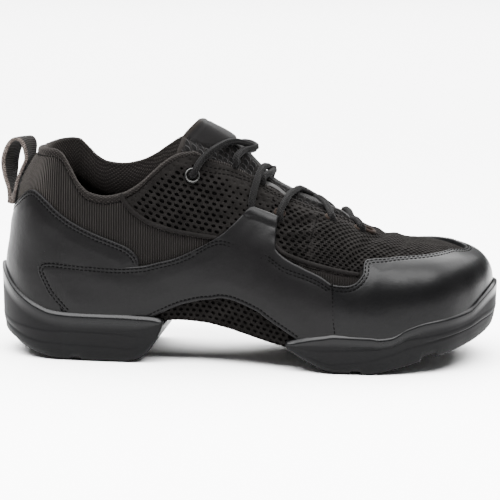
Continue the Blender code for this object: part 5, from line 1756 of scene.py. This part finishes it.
def strand_path(strand):
    """A strand with its ends led down: through an eyelet near one, else under the edge of the cloth."""
    points = [lace_point(*row) for row in strand]
    for at_end in (False, True):
        row = strand[-1] if at_end else strand[0]
        p, q = (points[-1], points[-2]) if at_end else (points[0], points[1])
        side = -1 if row[1] < 0 else 1
        if row[0] < 110:
            seat, axis = eyelet_seat(side)
            extra = [seat + axis * 2.6 + (p - seat) * 0.25, seat + axis * 0.6, seat - axis * 5.0]
        else:
            way = unit(p - q)
            s, phi = settle_top(p[0] + 1.6 * way[0], p[1] + 1.6 * way[1])
            extra = [face(s, phi, 0.9), face(s, phi, -3.5) + way * 1.2]
        points = points + extra if at_end else extra[::-1] + points
    return catmull(points, 8)


def laces():
    for name, strands in LACE_STRANDS.items():
        pile = Pile()
        marks = {"turn": [], "run": [], "groove": []}
        for strand in strands:
            points, faces, own = cord_mesh(strand_path(strand), LACE / 2)
            pile.add(points, faces)
            for key, value in own.items():
                marks[key].append(value)
        marks = {key: np.concatenate(values) for key, values in marks.items()}
        pile.make("cord_" + name, CORD, "lace_cord", attributes=marks, stands_for=(name,))


def ring_mesh(seat, axis, profile, count=48):
    """A ring turned about an axis from a closed profile of radius and height."""
    guide = np.array([0, 0, 1.0]) if abs(axis[2]) < 0.9 else np.array([1.0, 0, 0])
    a = unit(np.cross(guide, axis))
    b = np.cross(axis, a)
    turn = 2 * pi * np.arange(count) / count
    profile = np.array(profile, float)
    around = a * np.cos(turn)[:, None] + b * np.sin(turn)[:, None]
    points = seat + around[:, None] * profile[None, :, :1] + axis * profile[None, :, 1:]
    n = len(profile)
    k, j = np.arange(count)[:, None], np.arange(n)[None]
    here, after, across = k * n, (k + 1) % count * n, (j + 1) % n
    faces = np.stack([here + j, here + across, after + across, after + j], axis=-1)
    return points.reshape(-1, 3), faces.reshape(-1, 4).tolist()


def eyelets():
    for side, name in ((-1, "outer"), (1, "inner")):
        seat, axis = eyelet_seat(side)
        inner, outer = EYELET_INNER / 2 + 0.45, EYELET_OUTER / 2 - 0.1
        turn = np.linspace(0, pi, 12)
        middle, half = (inner + outer) / 2, (outer - inner) / 2
        top = [(middle + half * cos(a), 0.35 + 1.15 * sin(a) ** 0.8) for a in turn]
        profile = [(outer, -0.6)] + top + [(inner, -2.2), (inner - 0.25, -2.2)]
        points, faces = ring_mesh(seat, axis, profile)
        make("ring_" + name, points, faces, METAL, "eyelet_metal", stands_for=("eyelet_" + name,))


THROAT_RING = (190.6, -8.5)


def anchor_rings():
    """Small rolled rings of brown cloth where strands go under, and the one at the throat's foot."""
    pile = Pile()
    places = [strand[end][:2] for end in (0, -1) for strands in LACE_STRANDS.values() for strand in strands]
    turn = np.linspace(0, 2 * pi, 11)[:-1]
    for x, across in places:
        if x < 140:
            continue
        side = -1 if across < 0 else 1
        s, phi = across_phi(np.array(float(x)), side, abs(across))
        seat = cloth_face(s, phi, 0.2)
        axis = unit(face(s, phi, 1.0) - face(s, phi))
        profile = [(2.35 + 0.75 * cos(a), 0.75 * sin(a)) for a in turn]
        points, faces = ring_mesh(seat, axis, profile, 28)
        pile.add(points, faces)
    s, phi = across_phi(np.array(THROAT_RING[0]), -1, -THROAT_RING[1])
    seat = cloth_face(s, phi, 0.5)
    profile = [(3.0 + 0.95 * cos(a), 0.95 * sin(a)) for a in turn]
    points, faces = ring_mesh(seat, unit(face(s, phi, 1.0) - face(s, phi)), profile, 32)
    pile.add(points, faces)
    pile.make("anchor_rings", BROWN, "lace_cord")


KEEPER_LINE = (
    (135.9, -9.6, 88.9), (137.6, -9.0, 89.3), (140.3, -8.2, 89.0), (143.8, -7.8, 87.2),
    (146.9, -7.6, 84.9), (149.6, -7.7, 82.4), (151.2, -7.8, 80.6),
)
KEEPER_HALF = 1.9
KEEPER_THICK = 0.9


def keeper():
    """Pale strip of leather over the tongue that holds the laces, with a rounded end."""
    path = spaced_line(catmull(KEEPER_LINE, 8), 0.25)
    s, phi = settle_top(path[:, 0], path[:, 1])
    up = normal(s, phi)
    ahead = unit(np.gradient(path, axis=0))
    across = unit(np.cross(ahead, up))
    run = np.linspace(0, run_along(path)[-1], len(path))
    half = KEEPER_HALF * np.sqrt(np.clip(1 - (1 - np.clip(run / KEEPER_HALF, 0, 1)) ** 2, 0.02, 1))
    turn = np.linspace(0, 2 * pi, 17)[:-1]
    flat = np.sign(np.cos(turn)) * np.abs(np.cos(turn)) ** 0.5
    thick = KEEPER_THICK / 2 * np.sign(np.sin(turn)) * np.abs(np.sin(turn)) ** 0.6
    points = (path[:, None] + across[:, None] * (half[:, None] * flat)[..., None]
              + up[:, None] * thick[None, :, None])
    faces = tube_faces(len(path), len(turn))
    marks = dict(edge=np.full(points.shape[:2], 2.0))
    return make("keeper_strip", points, faces, KEEPER, "tongue_mesh", marks)


# Pull loop: outer and inner lines in the middle plane of the heel, and its turn
LOOP_TURN = 34
LOOP = (
    (3.6, 79.0, 5.6, 82.1, 0.0), (3.6, 84.0, 5.2, 85.5, 0.12), (3.1, 91.0, 4.9, 91.0, 0.6),
    (3.1, 98.0, 4.9, 98.0, 0.9), (4.6, 104.2, 6.2, 103.4, 0.9), (7.4, 108.8, 8.3, 107.3, 0.9),
    (10.6, 110.7, 10.7, 109.0, 0.9), (13.7, 109.6, 12.7, 108.2, 0.8), (15.4, 105.8, 13.8, 105.0, 0.6),
)
LOOP_FOOT = 76.0
LOOP_WIDTH = 11.0
TAPE_THICK = 1.6
TAPE_PUFF = 0.15
TAPE_ROOM = 0.51


def pull_loop():
    def back(z, out):
        p = face(HALF, phi_at(HALF, z), out)
        return float(p[0]), float(p[2])

    room = TAPE_ROOM
    ring = [tuple(row) for row in LOOP]
    for z in (99.0, 94.0, 89.0, 84.5):
        ring.append((*back(z, room), *back(z - 0.6, room + TAPE_THICK), 0.25 if z > 98 else 0.0))
    ring.append((*back(79.0, room), *back(82.6, room + TAPE_THICK), 0.0))
    ring.append((*back(LOOP_FOOT, room), *back(81.2, room + TAPE_THICK + 0.3), 0.0))
    ring.append((*back(LOOP_FOOT, room + 2 * TAPE_THICK + 0.2), *back(81.0, room + TAPE_THICK + 0.7), 0.0))
    closed = ring[-1:] + ring + ring[:2]
    line = catmull(closed, 14)[14:-14]
    across = np.linspace(-1, 1, 21)
    turn = np.radians(LOOP_TURN * line[:, 4])[:, None]
    half = LOOP_WIDTH / 2 * across[None, :]

    def sheet(column_at):
        """One face of the tape, a little puffed away from the other face."""
        x = line[:, column_at][:, None] + half * np.sin(turn)
        z = np.broadcast_to(line[:, column_at + 1][:, None], x.shape)
        flat = np.stack([x, half * np.cos(turn), z], axis=-1)
        middle = (line[:, 0:2] + line[:, 2:4]) / 2
        away = unit(line[:, column_at:column_at + 2] - middle)
        puffed = np.stack([away[:, 0], np.zeros(len(line)), away[:, 1]], axis=-1)[:, None]
        return flat + TAPE_PUFF * (1 - across ** 2)[None, :, None] * puffed

    outer, inner = sheet(0), sheet(2)
    section = np.concatenate([outer, inner[:, ::-1]], axis=1)
    n = section.shape[1]
    faces = grid_faces(len(line), n, wrap=True).tolist()
    run = run_along(line[:, [0, 1]])
    width = np.concatenate([(across + 1) / 2, (across[::-1] + 1) / 2])
    shape = section.shape[:2]
    marks = {"run": np.broadcast_to(run[:, None], shape), "width": np.broadcast_to(width, shape)}
    return make("heel_loop", section, faces, TAPE, "webbing", marks, stands_for=("pull_loop",))


# Rolled edges, seams and bindings of the cloth
REAR_PIPING = (
    (68.0, 86.0), (68.6, 84.0), (69.6, 82.0), (72, 79.3), (75, 76.4), (80.2, 73.0), (85.3, 70.7),
    (90.3, 69.2), (96.4, 67.7), (103, 66.6), (109.6, 65.7), (117, 64.9),
)
FORE_PIPING = (
    (145.4, 62.2), (149.5, 59.0), (155, 56.6), (161.5, 54.6), (169, 52.8), (176.5, 51.2), (183, 49.9),
    (188.5, 49.0),
)
VAMP_SEAM = ((166.2, -13.4), (165.3, -20.6), (164.4, -26.8), (162.9, -31.9), (161.3, -35.7))
THROAT_SEAM = (107, 110, 118, 126, 138, 150, 167, 179, 185)


def roll(pile, line, radius, out):
    line = spaced_line(catmull(line, 8), 0.8)
    s, phi = settle(line)
    points, faces = tube(cloth_face(s, phi, np.full(s.shape, out)), radius, 12)
    pile.add(points, faces)


def side_points(line, side):
    table = catmull(line, 6)
    s, phi = at_side_view(table[:, 0], table[:, 1], side)
    return face(s, phi)


def cloth_edges(dark):
    rolls = Pile()
    for side in (-1, 1):
        rear, fore = side_points(REAR_PIPING, side), side_points(FORE_PIPING, side)
        roll(rolls, rear, 1.15, 0.2)
        roll(rolls, fore, 1.2, 0.1)
        throat = np.array(THROAT_SEAM, float)
        half = by_side(THROAT, throat, side)
        y0 = middle_line(throat)
        for away in (2.2, 3.6):
            s, phi = settle_top(throat, y0 + side * (half + away))
            stitches(dark, catmull(face(s, phi), 8), 0.32, 1.5, 0.24, 1.0)
    rolls.make("piping", ROLL, "upper_mesh")
    span = np.linspace(side_station(104.5, -1), ROUND - side_station(104.5, -1), 420)
    edge = phi_edge(span)
    collar = face(span, phi_at(span, raw(span, edge)[..., 2] - COLLAR_SEAM))
    stitches(dark, collar, -0.42, 1.3, 0.24, 1.0)
    seam = np.array(VAMP_SEAM)
    s, phi = settle_top(seam[:, 0], seam[:, 1])
    stitches(dark, catmull(face(s, phi), 8), 0.36, 1.4, 0.22, 1.0)


# Stage. Lights: name, place, size, power and the point they face
FLOOR_COLOUR = (0.93, 0.93, 0.93, 1)
FLOOR_HALF = 9.0
WORLD_LIGHT = 0.28
LIGHTS = (
    ("wash", (0.0, 2.1, 2.6), (6.0, 4.6), 1300.0, (0.0, 2.1, 0.0)),
    ("top", (0.03, -0.36, 0.90), (1.4, 0.42), 74.0, (0.03, 0.0, 0.05)),
)


def stage():
    made, _, surface = nodes_of("floor")
    set_values(surface, Base_Color=FLOOR_COLOUR, Roughness=0.7)
    mesh = bpy.data.meshes.new("floor")
    wide = FLOOR_HALF
    corners = [(-wide, -wide, 0), (wide, -wide, 0), (wide, wide, 0), (-wide, wide, 0)]
    mesh.from_pydata(corners, [], [(0, 1, 2, 3)])
    mesh.materials.append(made)
    floor = bpy.data.objects.new("floor", mesh)
    bpy.context.scene.collection.objects.link(floor)
    world = bpy.data.worlds.new("studio")
    bpy.context.scene.world = world
    world.use_nodes = True
    world.node_tree.nodes["Background"].inputs["Color"].default_value = (1, 1, 1, 1)
    world.node_tree.nodes["Background"].inputs["Strength"].default_value = WORLD_LIGHT


def lights():
    for name, place, size, power, aim in LIGHTS:
        lamp = bpy.data.lights.new(name, "AREA")
        lamp.shape = "RECTANGLE"
        lamp.size, lamp.size_y = size
        lamp.energy = power
        ob = bpy.data.objects.new(name, lamp)
        bpy.context.scene.collection.objects.link(ob)
        ob.location = place
        ob.rotation_euler = (Vector(aim) - Vector(place)).to_track_quat("-Z", "Y").to_euler()


def camera():
    lens = bpy.data.cameras.new("camera")
    lens.lens = VIEW_LENS
    lens.sensor_width = 36
    ob = bpy.data.objects.new("camera", lens)
    bpy.context.scene.collection.objects.link(ob)
    az, el = radians(VIEW_AZIMUTH), radians(VIEW_ELEVATION)
    back = Vector((sin(az) * cos(el), -cos(az) * cos(el), sin(el)))
    target = Vector(place_mm(VIEW_TARGET))
    ob.location = target + back * VIEW_DISTANCE
    ob.rotation_euler = back.to_track_quat("Z", "Y").to_euler()
    bpy.context.scene.camera = ob


def build():
    camera()
    stage()
    lights()
    upper_cloth()
    arch_floor()
    quarter_net(-1)
    quarter_net(1)
    vamp_net()
    arch_net(-1)
    arch_net(1)
    threads, dark = Pile(), Pile()
    side_band(-1, threads)
    side_band(1, threads)
    heel_counter(threads)
    toe_cap(threads)
    cup("heel")
    cup("fore")
    insole()
    tongue()
    laces()
    eyelets()
    anchor_rings()
    keeper()
    pull_loop()
    cloth_edges(dark)
    threads.make("seams", THREAD, "leather")
    dark.make("dark_seams", DARK_THREAD, "upper_mesh")


build()
